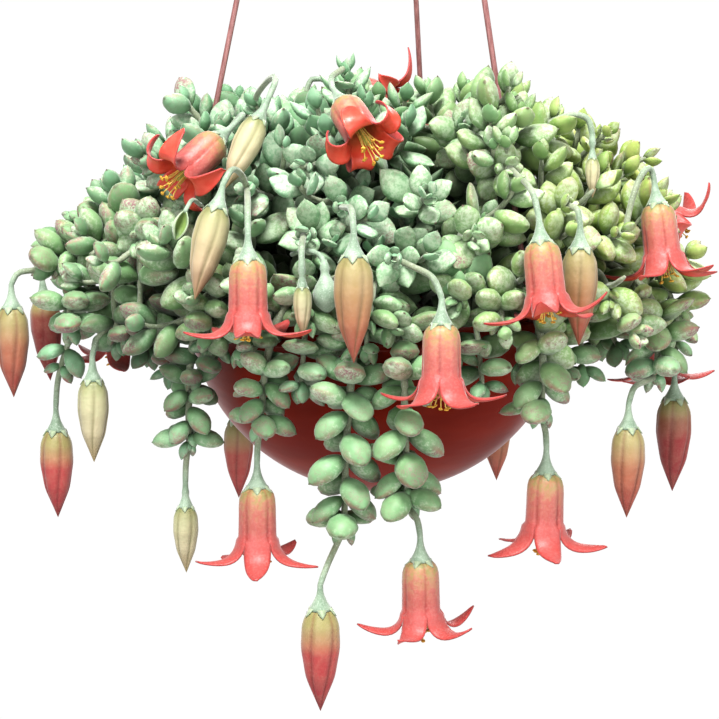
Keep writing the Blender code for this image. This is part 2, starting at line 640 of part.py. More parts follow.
def stem_rings(run, pairs):
    """Where the stem's rings lie and how each is turned: on bare stem at its points, then round pairs."""
    sites = pairs[::-1]
    lowest = sites[0][0] - 3.0
    knots = [knot for knot in run.line.knots if knot < lowest - 4.0]
    rings = [(knot, sites[0][1]) for knot in knots] + [(lowest, sites[0][1])]
    for row, after in zip(sites, sites[1:]):
        rings.append(((row[0] + after[0]) / 2, (row[1] + after[1]) / 2))
    rings.append((sites[-1][0] + LEAF_SOCKET, sites[-1][1]))
    return rings, len(knots)


def leafy_stem(run, pairs):
    """A four-sided stem whose leaves are drawn out of its sides: two rings and a blunt point each."""
    line = run.line
    rings, bare = stem_rings(run, pairs)
    points, faces = [], []
    for at, turn in rings:
        centre, _, normal, other = line.at(at)
        radius = np.interp(at, line.knots, run.radii)
        for k in range(4):
            angle = turn + math.pi / 2 * (k + 0.5)
            points.append(centre + radius * (normal * math.cos(angle) + other * math.sin(angle)))
    sockets = {}
    for number, row in enumerate(pairs):
        for half in (0, 1):
            sockets[(bare + len(pairs) - 1 - number, (number + 2 * half) % 4)] = row[2 + half]
    for ring in range(len(rings) - 1):
        for k in range(4):
            low = (ring * 4 + (k + 3) % 4, ring * 4 + k)
            root = (low[0], low[1], low[1] + 4, low[0] + 4)
            leaf = sockets.get((ring, k))
            if leaf:
                draw_leaf(leaf, root, points, faces)
            else:
                faces.append(root)
    last = 4 * (len(rings) - 1)
    faces.append((3, 2, 1, 0))
    faces.append((last, last + 1, last + 2, last + 3))
    return mesh_object("stem", points, faces, smooth_shade=False)


def draw_leaf(leaf, root, points, faces):
    """Draws a leaf out of a root face of the stem."""
    base, way, side, length = leaf
    up = np.cross(way, side)
    ring = root
    wide, thick = LEAF_WIDTH * LEAF_SQUARE[0], LEAF_THICK * LEAF_SQUARE[1]
    for t, full in LEAF_RINGS:
        first = len(points)
        for across, along in ((-1, -1), (1, -1), (1, 1), (-1, 1)):
            offset = side * across * wide + up * along * thick
            points.append(base + way * length * t + offset * full * length)
        new = tuple(range(first, first + 4))
        faces += [(ring[k], ring[(k + 1) % 4], new[(k + 1) % 4], new[k]) for k in range(4)]
        ring = new
    points.append(base + way * length)
    faces += [(ring[k], ring[(k + 1) % 4], len(points) - 1) for k in range(4)]


def spindle(name, foot, axis, size, sides, sunk):
    """A bud: a spindle with a groove between its folded lobes."""
    axis, across, other = flower_axes(axis)
    points, faces = [], []
    for along, full, groove in BUD_ROWS:
        centre = foot + axis * (along * BUD_H * size + (0.0 if along else sunk))
        for k in range(sides):
            angle = 2 * math.pi * k / sides
            radius = BUD_R * size * full * (groove if k % 2 else 1.0)
            points.append(centre + radius * (across * math.cos(angle) + other * math.sin(angle)))
    points.append(foot + axis * BUD_H * size)
    for ring in range(len(BUD_ROWS) - 1):
        for k in range(sides):
            a, b = ring * sides + k, ring * sides + (k + 1) % sides
            faces.append((a, b, b + sides, a + sides))
    last = (len(BUD_ROWS) - 1) * sides
    faces.append(tuple(range(sides))[::-1])
    faces += [(last + k, last + (k + 1) % sides, last + sides) for k in range(sides)]
    return mesh_object(name, points, faces)


def corolla(flower):
    """An open flower: a ten-sided tube, hollow to its base, whose mouth parts into five curled lobes."""
    sides = 2 * LOBES
    axis, across, other = flower_axes(flower[3])
    foot = np.array(flower[2], float)
    spin = flower_spin(flower)

    def spot(angle, radius, along):
        out = across * math.cos(angle) + other * math.sin(angle)
        return foot + axis * along + out * radius

    points, faces = [], []
    rings = ((FIT, 4.5), (3.2, TUBE_R), (TUBE_H, MOUTH_R), (TUBE_H, MOUTH_R - PETAL_WALL), (4.4, 4.6))
    for along, radius in rings:
        points += [spot(spin + 2 * math.pi * k / sides, radius, along) for k in range(sides)]
    for ring in (0, 1, 3):
        for k in range(sides):
            a, b = ring * sides + k, ring * sides + (k + 1) % sides
            faces.append((a, b, b + sides, a + sides))
    faces.append(tuple(range(sides))[::-1])
    faces.append(tuple(range(4 * sides, 5 * sides)))
    outer, inner = 2 * sides, 3 * sides
    for lobe, curl in enumerate(lobe_curls(flower)):
        middle = spin + 2 * math.pi * (2 * lobe + 1) / sides
        out = across * math.cos(middle) + other * math.sin(middle)
        aside = np.cross(axis, out)
        o = [outer + (2 * lobe + k) % sides for k in range(3)]
        i = [inner + (2 * lobe + k) % sides for k in range(3)]
        line = lobe_line(curl, 4)
        ring = None
        for number, (radius, along, heading) in enumerate(line[1:4]):
            centre = foot + axis * along + out * radius
            outward = out * math.cos(heading) - axis * math.sin(heading)
            width = lobe_width((number + 1) / 4)
            first = len(points)
            points += [centre - aside * width, centre + outward * LOBE_THICK / 2,
                       centre + aside * width, centre - outward * LOBE_THICK / 2]
            left, top, right, under = range(first, first + 4)
            if ring is None:
                faces += [(o[0], o[1], top, left), (o[1], o[2], right, top), (i[1], i[0], left, under),
                          (i[2], i[1], under, right), (i[0], o[0], left), (o[2], i[2], right)]
            else:
                a, b, c, d = ring
                faces += [(a, b, top, left), (b, c, right, top), (c, d, under, right), (d, a, left, under)]
            ring = (left, top, right, under)
        radius, along, _ = line[4]
        points.append(foot + axis * along + out * radius)
        tip = len(points) - 1
        faces += [(ring[k], ring[(k + 1) % 4], tip) for k in range(4)]
    return mesh_object(flower[0], points, faces)


def fuse(name, base, others):
    """One solid from a base object and others that cross it."""
    group = bpy.data.collections.new(name + "_pieces")
    bpy.context.scene.collection.children.link(group)
    for piece in others:
        bpy.context.scene.collection.objects.unlink(piece)
        group.objects.link(piece)
    union = base.modifiers.new("union", "BOOLEAN")
    union.operation = "UNION"
    union.operand_type = "COLLECTION"
    union.collection = group
    union.solver = "EXACT"
    union.use_self = True
    union.use_hole_tolerant = True
    apply_modifiers(base)
    for piece in others:
        bpy.data.objects.remove(piece, do_unlink=True)
    bpy.data.collections.remove(group)
    keep_body(base)
    base.name = name
    base.data.name = name
    return base


def keep_body(thing):
    """Fills the hollows that fusing sealed and drops loose scraps: only the largest body stays."""
    body = bmesh.new()
    body.from_mesh(thing.data)
    left = set(body.verts)
    parts = []
    while left:
        found = [left.pop()]
        for vert in found:
            near = {edge.other_vert(vert) for edge in vert.link_edges} & left
            left -= near
            found += near
        parts.append(found)
    parts.sort(key=len)
    for loose in parts[:-1]:
        bmesh.ops.delete(body, geom=loose, context="VERTS")
    body.to_mesh(thing.data)
    body.free()


def apply_modifiers(thing):
    """Replaces the object's mesh by what its modifiers make of it."""
    bpy.context.view_layer.update()
    seen = thing.evaluated_get(bpy.context.evaluated_depsgraph_get())
    mesh = bpy.data.meshes.new_from_object(seen)
    thing.modifiers.clear()
    old = thing.data
    thing.data = mesh
    bpy.data.meshes.remove(old)


def cut(thing, cutters):
    """Cuts the cutters' shapes out of a solid."""
    group = bpy.data.collections.new(thing.name + "_cutters")
    bpy.context.scene.collection.children.link(group)
    for piece in cutters:
        bpy.context.scene.collection.objects.unlink(piece)
        group.objects.link(piece)
    hole = thing.modifiers.new("holes", "BOOLEAN")
    hole.operation = "DIFFERENCE"
    hole.operand_type = "COLLECTION"
    hole.collection = group
    hole.solver = "EXACT"
    apply_modifiers(thing)
    for piece in cutters:
        bpy.data.objects.remove(piece, do_unlink=True)
    bpy.data.collections.remove(group)


def turned(name, outline, sides):
    """A solid of revolution from rows of radius and height, from the bottom round to the top."""
    points, faces = [], []
    for radius, height in outline:
        for k in range(sides):
            angle = 2 * math.pi * k / sides
            points.append((radius * math.cos(angle), radius * math.sin(angle), height))
    for ring in range(len(outline) - 1):
        for k in range(sides):
            a, b = ring * sides + k, ring * sides + (k + 1) % sides
            faces.append((a, b, b + sides, a + sides))
    last = (len(outline) - 1) * sides
    faces.append(tuple(range(sides))[::-1])
    faces.append(tuple(range(last, last + sides)))
    return mesh_object(name, points, faces)


def arc_rows(radius, steps, lowest, highest):
    """Rows of radius and height on a half ball, between two heights below its centre."""
    start = math.asin(lowest / radius)
    end = math.asin(highest / radius)
    angles = [start + (end - start) * k / steps for k in range(steps + 1)]
    return [(radius * math.cos(a), radius * math.sin(a)) for a in angles]


def make_bowl():
    """The bowl with its flat foot, rim band and three lugs with a hole each."""
    foot_z = -math.sqrt(BOWL_R ** 2 - FOOT_R ** 2)
    inside = BOWL_R - BOWL_WALL
    outline = arc_rows(BOWL_R, 5, foot_z, -BAND_H)
    band = BOWL_R + BAND_OUT
    outline += [(band, -BAND_H), (band, -EDGE_H), (band - EDGE_IN, 0.0), (inside + EDGE_IN, 0.0)]
    rows = arc_rows(inside, 5, foot_z + BOWL_WALL, -EDGE_H)
    outline += rows[::-1]
    bowl = turned("bowl", outline, BOWL_SIDES)
    lugs, holes = [], []
    for angle in STRAND_ANGLES:
        out = np.array([math.cos(math.radians(angle)), math.sin(math.radians(angle)), 0.0])
        low, high = np.array([0, 0, LUG_BOTTOM]), np.array([0, 0, LUG_TOP])
        lugs.append(tube("lug", [out * LUG_AT + low, out * LUG_AT + high], (LUG_R, LUG_R), 8))
        inner = out * (BOWL_R - 0.6)
        lugs.append(tube("lug_root", [inner + (low + high) / 2, out * LUG_AT + (low + high) / 2],
                         (LUG_NECK_R, LUG_NECK_R), 4))
        holes.append(tube("hole", [out * LUG_AT + low * 2, out * LUG_AT + np.array([0, 0, 3.0])],
                          (STRAND_R + LUG_FIT, STRAND_R + LUG_FIT), 8))
    bowl = fuse("bowl", bowl, lugs)
    cut(bowl, holes)
    return bowl


def make_soil(runs):
    """The soil that fills the bowl, with a blind hole for each trunk."""
    radius = (BOWL_R - BOWL_WALL) * math.cos(math.pi / 10) - FIT
    rows = arc_rows(radius, 5, -radius * 0.96, SOIL_TOP)
    soil = turned("soil", rows, BOWL_SIDES)
    holes = []
    for run in runs:
        if run.parent is None:
            x, y, _ = run.points[0]
            wide = (TRUNK_R + TRUNK_FIT) / math.cos(math.pi / 6)
            holes.append(tube("hole", [(x, y, ROOT_BOTTOM - FIT), (x, y, SOIL_TOP + 2.0)], (wide, wide), 6))
    cut(soil, holes)
    return soil


def make_strand(number, angle):
    """A strand with the button under its lug."""
    line = strand_line(angle)
    low = line[0]
    drop = np.array([0.0, 0.0, BUTTON_H])
    step = np.array([0.0, 0.0, 0.2])
    line = np.vstack([low - drop, low - step, low, line[1:]])
    radii = [BUTTON_R, BUTTON_R, STRAND_R, STRAND_R, STRAND_R, STRAND_R, STRAND_R]
    return tube(f"strand_{number}", line, radii, STRAND_SIDES)


def make_hook():
    """The hub with a socket for each strand, and the open hook above it."""
    lift = -RIM_Z
    up = [(0.0, 0.0, HUB_TOP_Z + 3.0), (0.0, 0.0, HUB_TOP_Z + 8.0)]
    for degrees in range(HOOK_START, HOOK_END, HOOK_TURN):
        angle = math.radians(degrees)
        up.append((HOOK_BEND_R * math.cos(angle), 0.0, HOOK_CENTRE_Z + HOOK_BEND_R * math.sin(angle)))
    wire = smooth(up, 6.5)
    hub = [(0.0, 0.0, HUB_TOP_Z - HUB_H), (0.0, 0.0, HUB_TOP_Z - 2.0), (0.0, 0.0, HUB_TOP_Z)]
    line = np.vstack([hub, wire]) + np.array([0.0, 0.0, lift])
    radii = [HUB_R, HUB_R, HUB_R - 3.0] + [HOOK_WIRE_R] * len(wire)
    hook = tube("hook", line, radii, 8)
    sockets = []
    for angle in STRAND_ANGLES:
        strand = strand_line(angle)
        way = unit(strand[-1] - strand[-2])
        wide = (STRAND_R + FIT) / math.cos(math.pi / 8)
        sockets.append(tube("socket", [strand[-1] + way * FIT, strand[-1] - way * 14.0], (wide, wide), 8))
    cut(hook, sockets)
    return hook


def make_stamens(flower):
    """The yellow tuft in a bell: a core from the bell's floor that spreads into a star of anthers."""
    sides = 2 * LOBES
    axis, across, other = flower_axes(flower[3])
    foot = np.array(flower[2], float)
    points, faces = [], []
    for along, tip, notch in STAMEN_ROWS:
        for k in range(sides):
            angle = flower_spin(flower) + 2 * math.pi * k / sides
            out = across * math.cos(angle) + other * math.sin(angle)
            points.append(foot + axis * along + out * (notch if k % 2 else tip))
    points.append(foot + axis * STAMEN_HOLLOW)
    for ring in (0, 1):
        for k in range(sides):
            a, b = ring * sides + k, ring * sides + (k + 1) % sides
            faces.append((a, b, b + sides, a + sides))
    faces.append(tuple(range(sides))[::-1])
    faces += [(2 * sides + k, 2 * sides + (k + 1) % sides, 3 * sides) for k in range(sides)]
    return mesh_object(flower[0].replace("flower", "stamens"), points, faces)


def make_leafy_node(node, runs, pairs):
    """One node's stems, leaves, stalks, calyces and unripe buds, fused into one solid."""
    pieces = []
    for run, own in zip(runs, pairs):
        if run.node == node and run.pairs:
            pieces.append(leafy_stem(run, own))
        elif run.node == node:
            pieces.append(tube("stalk", run.points, run.radii, STALK_SIDES))
    for name, owner, foot, axis, size, ripe in BUDS:
        if owner == node and not ripe:
            pieces.append(spindle("unripe", np.array(foot, float), axis, size, 6, -0.6))
    return fuse(node, pieces[0], pieces[1:])


def paint(thing, colour):
    """Gives an object its material."""
    name = colour + "_material"
    material = bpy.data.materials.get(name)
    if material is None:
        base, rough = COLOURS[colour]
        material = bpy.data.materials.new(name)
        material.use_nodes = True
        shader = material.node_tree.nodes["Principled BSDF"]
        shader.inputs["Base Color"].default_value = (*base, 1.0)
        shader.inputs["Roughness"].default_value = rough
        shader.inputs["Metallic"].default_value = 0.0
    thing.data.materials.clear()
    thing.data.materials.append(material)


def main():
    """Builds the whole object."""
    for thing in list(bpy.data.objects):
        bpy.data.objects.remove(thing, do_unlink=True)
    runs, pairs = lay_out()
    paint(make_bowl(), "bowl")
    paint(make_soil(runs), "soil")
    paint(make_hook(), "hanger")
    for number, angle in enumerate(STRAND_ANGLES, 1):
        paint(make_strand(number, angle), "hanger")
    for node in dict.fromkeys(row[0] for row in SHOOTS):
        paint(make_leafy_node(node, runs, pairs), "leaf")
    for flower in FLOWERS:
        paint(corolla(flower), "petal")
        if flower[5]:
            paint(make_stamens(flower), "stamen")
    for name, _, foot, axis, size, ripe in BUDS:
        if ripe:
            ahead = np.array(foot, float) + unit(axis) * FIT
            paint(spindle(name, ahead, axis, size, 10, 0.0), "bud")


main()
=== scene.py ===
"""The looks of the potted cotyledon: fine leaves, bells, buds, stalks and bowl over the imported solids.

The plant is laid out in millimetres from the centre of the bowl's rim, by the same rule as its solids.
X is right, Y away from the viewer and Z up.
"""

import json
import math
import random

import bpy
import numpy as np
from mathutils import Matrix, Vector

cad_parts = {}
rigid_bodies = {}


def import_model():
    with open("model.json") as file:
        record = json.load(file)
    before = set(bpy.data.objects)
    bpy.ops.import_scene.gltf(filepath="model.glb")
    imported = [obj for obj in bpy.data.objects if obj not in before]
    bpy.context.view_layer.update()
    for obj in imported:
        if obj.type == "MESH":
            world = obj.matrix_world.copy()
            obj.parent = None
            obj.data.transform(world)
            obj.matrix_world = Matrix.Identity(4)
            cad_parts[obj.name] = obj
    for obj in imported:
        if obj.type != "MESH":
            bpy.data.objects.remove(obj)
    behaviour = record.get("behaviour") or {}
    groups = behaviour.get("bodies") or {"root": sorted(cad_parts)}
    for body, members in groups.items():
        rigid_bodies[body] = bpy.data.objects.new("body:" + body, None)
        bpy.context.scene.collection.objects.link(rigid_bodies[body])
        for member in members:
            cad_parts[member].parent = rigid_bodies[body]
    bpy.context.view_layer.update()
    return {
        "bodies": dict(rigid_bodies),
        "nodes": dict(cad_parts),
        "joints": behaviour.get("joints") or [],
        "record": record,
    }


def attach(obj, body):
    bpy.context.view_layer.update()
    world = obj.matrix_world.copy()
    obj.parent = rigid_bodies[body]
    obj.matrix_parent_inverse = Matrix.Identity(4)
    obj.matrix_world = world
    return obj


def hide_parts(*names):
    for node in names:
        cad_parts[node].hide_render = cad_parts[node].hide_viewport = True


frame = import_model()

# Bowl: half a ball with a flat foot and a raised band round its rim
BOWL_R = 80.0
BOWL_WALL = 2.2
FOOT_R = 19.0
BAND_H = 10.0
BAND_OUT = 1.8
SOIL_TOP = -8.0
ROOT_BOTTOM = -23.0
FIT = 0.3

# Hanger: three strands from the lugs on the rim to a hub under the hook
STRAND_ANGLES = (194.0, 314.0, 74.0)
STRAND_R = 1.15
BUTTON_R = 3.2
BUTTON_H = 2.6
LUG_AT = 85.5
LUG_R = 5.0
LUG_TOP = -1.0
LUG_BOTTOM = -5.0
LUG_NECK_R = 2.7
LUG_FIT = 0.5
HUB_ABOVE_RIM = 370.0
HUB_R = 9.0
HUB_H = 14.0
HOOK_WIRE_R = 2.6
HOOK_BEND_R = 15.0
HOOK_NECK = 14.0
STRAND_SPREAD = 5.2
SOCKET_DEPTH = 8.0
HOOK_START = -25
HOOK_END = 211
HOOK_TURN = 29
HOOK_CENTRE_Z = -(HOOK_BEND_R - HOOK_WIRE_R)
HUB_TOP_Z = HOOK_CENTRE_Z - HOOK_BEND_R - HOOK_NECK
RIM_Z = HUB_TOP_Z - HUB_H - HUB_ABOVE_RIM

# Stems and leaves
TRUNK_R = 2.1
STEM_R = 1.6
STALK_R = 1.15
STEM_STEP = 12.0
PARENT_REACH = 14.0
LINE_STEP = 2.0
STIFFNESS = 0.12
PUSH = 0.45
MOST_MOVE = 3.0
STEM_GAP = 1.8
BALL_GAP = 1.2
NEAR = 20.0
LEAF_WIDTH = 0.31
LEAF_GAP = 0.35
SAME_NODE = 0.95
PAIR_GAPS = (4.0, 5.5, 6.8, 7.6)
PAIR_SIZES = (0.55, 0.80, 0.95, 1.0)
PAIR_TILTS = (24.0, 42.0, 55.0, 62.0)
LEAF_TRIES = ((1.0, 0), (1.0, 24), (1.0, -24), (0.86, 0), (0.86, 30), (0.86, -30), (0.72, 0), (0.6, 0))

# Flowers and buds
CALYX_H = 10.0
CALYX_R = 5.4
WAIST_H = 4.0
WAIST_R = 2.1
TUBE_H = 19.0
MOUTH_R = 7.3
PETAL_WALL = 0.9
LOBE_LENGTH = 23.0
LOBE_START = 14.0
LOBE_SWEEP = 82.0
LOBES = 5
BUD_H = 37.0
BUD_R = 7.0
# t along a bud, then its radius as a share of its greatest
BUD_ROWS = ((0.0, 0.58), (0.12, 0.94), (0.36, 1.0), (0.66, 0.74), (1.0, 0.0))
# Distance along the axis and radius of the balls that stand for a bell and for a bud
BELL_BALLS = ((4.0, 6.6), (11.0, 7.4), (17.0, 7.8), (25.0, 4.5))
BUD_BALLS = ((4.0, 6.2), (10.0, 7.0), (17.0, 6.6), (24.0, 5.0), (30.0, 3.2), (35.0, 1.6))

# Leafy stems. Each node's first stem is its trunk, which rises from the soil; the others branch from
# it. A row gives the node, the points that the stem runs through, its pairs of leaves and leaf length.
SHOOTS = [
    ("stems_front", [(2, -44, -8), (0, -60, 16), (-4, -86, 14), (-9, -99, -8), (-12, -101, -42),
                     (-13, -98, -76)], 8, 16.5),
    ("stems_front", [(0, -84, 15), (8, -100, -4), (10, -103, -34), (11, -100, -66)], 7, 16.5),
    ("stems_front", [(-2, -78, 17), (-2, -98, 17), (-4, -112, 4)], 2, 13.0),
    ("stems_front_left", [(-18, -50, -8), (-22, -62, 14), (-32, -84, 13), (-41, -94, -8), (-45, -94, -38)],
     4, 14.0),
    ("stems_front_left", [(-26, -76, 15), (-27, -96, 18), (-27, -108, 4)], 2, 14.0),
    ("stems_front_left", [(-22, -64, 16), (-24, -84, 34), (-28, -100, 36)], 3, 14.0),
    ("stems_left_low", [(-40, -38, -8), (-48, -50, 14), (-62, -66, 13), (-72, -72, -8), (-75, -66, -50)],
     5, 13.0),
    ("stems_left_low", [(-58, -62, 15), (-62, -78, 14), (-66, -88, -4)], 2, 14.0),
    ("stems_left_arm", [(-52, -6, -8), (-62, -6, 18), (-90, -9, 27), (-118, -18, 25), (-136, -24, 16)],
     5, 16.0),
    ("stems_left_arm", [(-90, -9, 27), (-112, 2, 33), (-130, 8, 33)], 3, 14.5),
    ("stems_left_arm", [(-92, -10, 27), (-94, -36, 33), (-94, -54, 28)], 3, 15.0),
    ("stems_left_arm", [(-98, -12, 26), (-106, -42, 10), (-103, -54, -12)], 2, 14.0),
    ("stems_left_arm", [(-112, -22, 24), (-124, -34, 8), (-124, -40, -8)], 2, 16.0),
    ("stems_left_top", [(-38, 14, -8), (-44, 6, 30), (-62, -8, 62), (-80, -14, 84)], 3, 14.5),
    ("stems_left_top", [(-54, -2, 48), (-78, -18, 56), (-94, -32, 60)], 3, 13.5),
    ("stems_left_top", [(-50, 2, 40), (-66, -34, 46), (-76, -62, 44)], 2, 14.0),
    ("stems_top_left", [(-20, -16, -8), (-26, -20, 34), (-38, -26, 62), (-50, -30, 84)], 3, 14.5),
    ("stems_top_left", [(-32, -22, 50), (-50, -6, 70), (-62, 6, 86)], 3, 13.0),
    ("stems_top_left", [(-26, -20, 34), (-40, -50, 46), (-50, -80, 52)], 2, 14.0),
    ("stems_top_middle", [(-2, -14, -8), (-4, -20, 40), (-10, -34, 72), (-13, -42, 98)], 4, 14.0),
    ("stems_top_middle", [(-6, -24, 50), (-20, -50, 60), (-30, -78, 60)], 3, 13.5),
    ("stems_top_middle", [(-4, -20, 36), (-12, -60, 44), (-14, -92, 46)], 2, 14.0),
    ("stems_middle", [(20, -30, -8), (18, -46, 26), (16, -70, 42), (18, -94, 52)], 3, 13.5),
    ("stems_middle", [(18, -46, 26), (10, -76, 28), (6, -106, 28)], 3, 13.5),
    ("stems_middle", [(18, -52, 30), (32, -76, 34), (36, -100, 34)], 2, 14.5),
    ("stems_front_right", [(36, -42, -8), (44, -54, 14), (56, -74, 12), (62, -89, -6), (62, -89, -33)],
     5, 16.0),
    ("stems_front_right", [(44, -54, 14), (36, -84, 16), (28, -104, 10)], 2, 14.0),
    ("stems_front_right", [(50, -64, 14), (46, -90, 12), (47, -102, 0)], 2, 14.0),
    ("stems_top_right", [(22, 2, -8), (26, -4, 36), (32, -26, 62), (34, -50, 76)], 4, 15.0),
    ("stems_top_right", [(27, -8, 42), (46, -2, 66), (60, 0, 80)], 3, 14.5),
    ("stems_top_right", [(28, -14, 48), (42, -48, 54), (50, -78, 60)], 3, 15.0),
    ("stems_right_top", [(44, 14, -8), (56, 12, 28), (84, 4, 50), (112, 0, 60)], 3, 14.5),
    ("stems_right_top", [(62, 10, 34), (80, -14, 58), (92, -30, 72)], 3, 14.0),
    ("stems_right_middle", [(46, -20, -8), (54, -28, 22), (64, -54, 34), (72, -80, 46)], 3, 14.0),
    ("stems_right_middle", [(56, -34, 24), (80, -46, 28), (96, -62, 34)], 2, 14.0),
    ("stems_right_low", [(56, -4, -8), (66, -10, 16), (94, -22, 18), (112, -34, 2), (112, -40, -26)],
     4, 16.0),
    ("stems_right_low", [(76, -14, 18), (88, -46, 16), (90, -68, 6)], 2, 15.5),
    ("stems_right_low", [(94, -22, 18), (114, -14, 14), (124, -10, -4)], 2, 15.5),
    ("stems_back_left", [(-26, 36, -8), (-32, 46, 18), (-50, 78, 14), (-60, 94, -10), (-62, 94, -50)],
     5, 15.0),
    ("stems_back_left", [(-32, 46, 18), (-38, 50, 50), (-40, 44, 80)], 3, 14.5),
    ("stems_back_left", [(-34, 50, 18), (-74, 58, 30), (-96, 52, 32)], 2, 14.5),
    ("stems_back_left", [(-38, 58, 18), (-22, 88, 26), (-14, 108, 12)], 3, 14.5),
    ("stems_back_left", [(-60, 58, 26), (-88, 66, 8), (-94, 62, -20)], 2, 14.5),
    ("stems_back_right", [(28, 36, -8), (32, 48, 18), (44, 80, 14), (52, 98, -8), (54, 98, -40)], 4, 15.0),
    ("stems_back_right", [(32, 48, 20), (26, 56, 56), (24, 58, 86)], 3, 14.5),
    ("stems_back_right", [(34, 52, 20), (66, 58, 44), (80, 62, 52)], 2, 14.5),
    ("stems_back_right", [(36, 58, 18), (18, 88, 34), (14, 102, 40)], 2, 14.5),
    ("stems_back_right", [(48, 58, 30), (88, 54, 14), (100, 50, -10)], 3, 14.5),
]

# Open flowers: name, node of the stalk, the calyx's foot, the way the bell points, how far each lobe
# curls past level, in degrees, and whether the yellow stamens are a node
FLOWERS = [
    ("flower_top_left", "stems_left_top", (-62, -66, 70), (-0.62, -0.50, -0.60), 70, True),
    ("flower_top_middle", "stems_top_middle", (-14, -64, 84), (0.42, -0.66, -0.62), 110, True),
    ("flower_left", "stems_top_left", (-48, -112, 28), (0.0, -0.06, -1.0), 12, True),
    ("flower_centre_right", "stems_top_right", (60, -106, 34), (0.10, -0.16, -1.0), 14, True),
    ("flower_centre", "stems_middle", (23, -120, 5), (0.0, -0.08, -1.0), 10, True),
    ("flower_right", "stems_right_middle", (110, -48, 44), (0.12, -0.14, -1.0), 10, True),
    ("flower_low_left", "stems_front_left", (-46, -98, -60), (0.0, 0.0, -1.0), 0, True),
    ("flower_low_right", "stems_front_right", (64, -90, -56), (-0.02, 0.0, -1.0), 0, True),
    ("flower_low_front", "stems_front", (16, -104, -87), (0.02, 0.0, -1.0), 14, True),
    ("flower_far_right", "stems_right_top", (108, 16, 46), (0.70, 0.05, -0.60), 30, True),
    ("flower_side_right", "stems_right_low", (120, 20, -8), (0.04, 0.0, -1.0), 8, True),
    ("flower_side_left", "stems_left_arm", (-112, 22, 0), (-0.06, 0.0, -1.0), 6, False),
    ("flower_back_right", "stems_right_top", (76, 36, 58), (0.30, 0.60, -0.70), 30, False),
    ("flower_back_top", "stems_back_left", (-4, 34, 78), (0.70, 0.45, -0.45), 40, False),
    ("flower_back_low", "stems_back_left", (-34, 112, -22), (0.0, 0.0, -1.0), 8, False),
    ("flower_back_middle", "stems_back_right", (34, 114, 14), (0.0, 0.06, -1.0), 10, False),
]

# Buds: name, node of the stalk, the calyx's foot, the way it points, its size, and whether it is ripe
# enough to have coloured, which makes it a node of its own
BUDS = [
    ("bud_far_left", "stems_left_arm", (-150, -27, 0), (0.0, 0.0, -1.0), 1.0, True),
    ("bud_left_behind", "stems_left_arm", (-142, 6, 0), (0.06, 0.0, -1.0), 0.95, True),
    ("bud_left_low", "stems_left_arm", (-132, -32, -50), (0.0, 0.0, -1.0), 0.98, True),
    ("bud_top_left", "stems_top_left", (-46, -74, 78), (-0.42, -0.22, -0.88), 0.8, True),
    ("bud_left_middle", "stems_top_left", (-60, -100, 46), (-0.24, -0.1, -0.96), 0.95, True),
    ("bud_centre", "stems_top_middle", (-9, -122, 30), (0.0, -0.03, -1.0), 1.05, True),
    ("bud_right_middle", "stems_right_middle", (76, -88, 30), (0.0, -0.03, -1.0), 1.0, True),
    ("bud_right_low", "stems_right_low", (99, -58, -44), (0.0, 0.0, -1.0), 0.98, True),
    ("bud_far_right", "stems_right_low", (122, -22, -38), (0.0, 0.0, -1.0), 1.05, True),
    ("bud_low_front", "stems_front", (-22, -104, -106), (0.0, 0.0, -1.0), 1.08, True),
    ("bud_back_left", "stems_back_left", (-66, 98, -68), (0.0, 0.0, -1.0), 1.0, True),
    ("bud_back_right", "stems_back_right", (56, 102, -62), (0.0, 0.0, -1.0), 0.95, True),
    ("bud_green_left", "stems_left_arm", (-114, -52, -26), (0.0, 0.0, -1.0), 0.9, False),
    ("bud_green_low", "stems_left_low", (-76, -68, -74), (0.0, 0.0, -1.0), 0.72, False),
    ("bud_green_middle", "stems_front_left", (-28, -114, 18), (0.02, 0.0, -1.0), 0.5, False),
    ("bud_green_right", "stems_top_right", (84, -50, 62), (0.0, -0.2, -1.0), 0.42, False),
]

# Outline of the foliage: half its width, depth and height, and how far it comes down below the rim; the power
# that squares its ellipse; and how far down it its shoots begin, from 0 at the top to 2 at the bottom
DOME = (127.0, 104.0, 86.0)
DOME_UNDER = 24.0
DOME_POWER = 2.5
DOME_SPAN = 1.36

# Filling shoots: how many near the outline, further in and over the rim, how far from a stem they reach and
# how many pairs of leaves each has at most
DOME_TIPS = 165
INNER_TIPS = 95
INNER_SCALE = 0.80
SKIRT = 34
SHORTEST_SHOOT = 9.0
LONGEST_SHOOT = 85.0
SHOOT_PAIRS = 6

# The share of the touching distance that leaves keep along a shoot, round a pair and at a tip, and the sizes
# and turns that are tried for a leaf until it has room; HARD marks the balls of blooms and hanger
PRESS = 0.80
PRESS_BETWEEN = 0.86
PRESS_CENTRE = 0.45
GROW_TRIES = ((1.0, 0), (1.0, 25), (1.0, -25), (0.92, 50), (0.92, -50), (0.84, 0), (0.84, 35), (0.84, -35),
              (0.74, 10))
BETWEEN_TRIES = ((1.0, 0.0), (1.05, 0.4), (1.0, -0.4), (0.9, 0.2), (0.9, -0.2), (0.78, 0.0))
MOST_LEAVES = 40
MOST_BALLS = 40000
HARD = -1

# Shapes of the leaves, bells, buds and calyces, and how finely they are made
LEAF_SIDES = 10
EGG_WIDTH = 0.365
POINTED_WIDTH = 0.335
# t along the leaf, then its half width as a plump egg and as a pointed young leaf
LEAF_ROWS = ((0.0, 0.15, 0.15), (0.06, 0.40, 0.32), (0.16, 0.66, 0.56), (0.30, 0.88, 0.80),
             (0.45, 0.99, 0.98), (0.60, 1.0, 0.96), (0.74, 0.89, 0.76), (0.86, 0.67, 0.46),
             (0.945, 0.40, 0.21), (0.985, 0.15, 0.07))
LEAF_TIP = 1.03
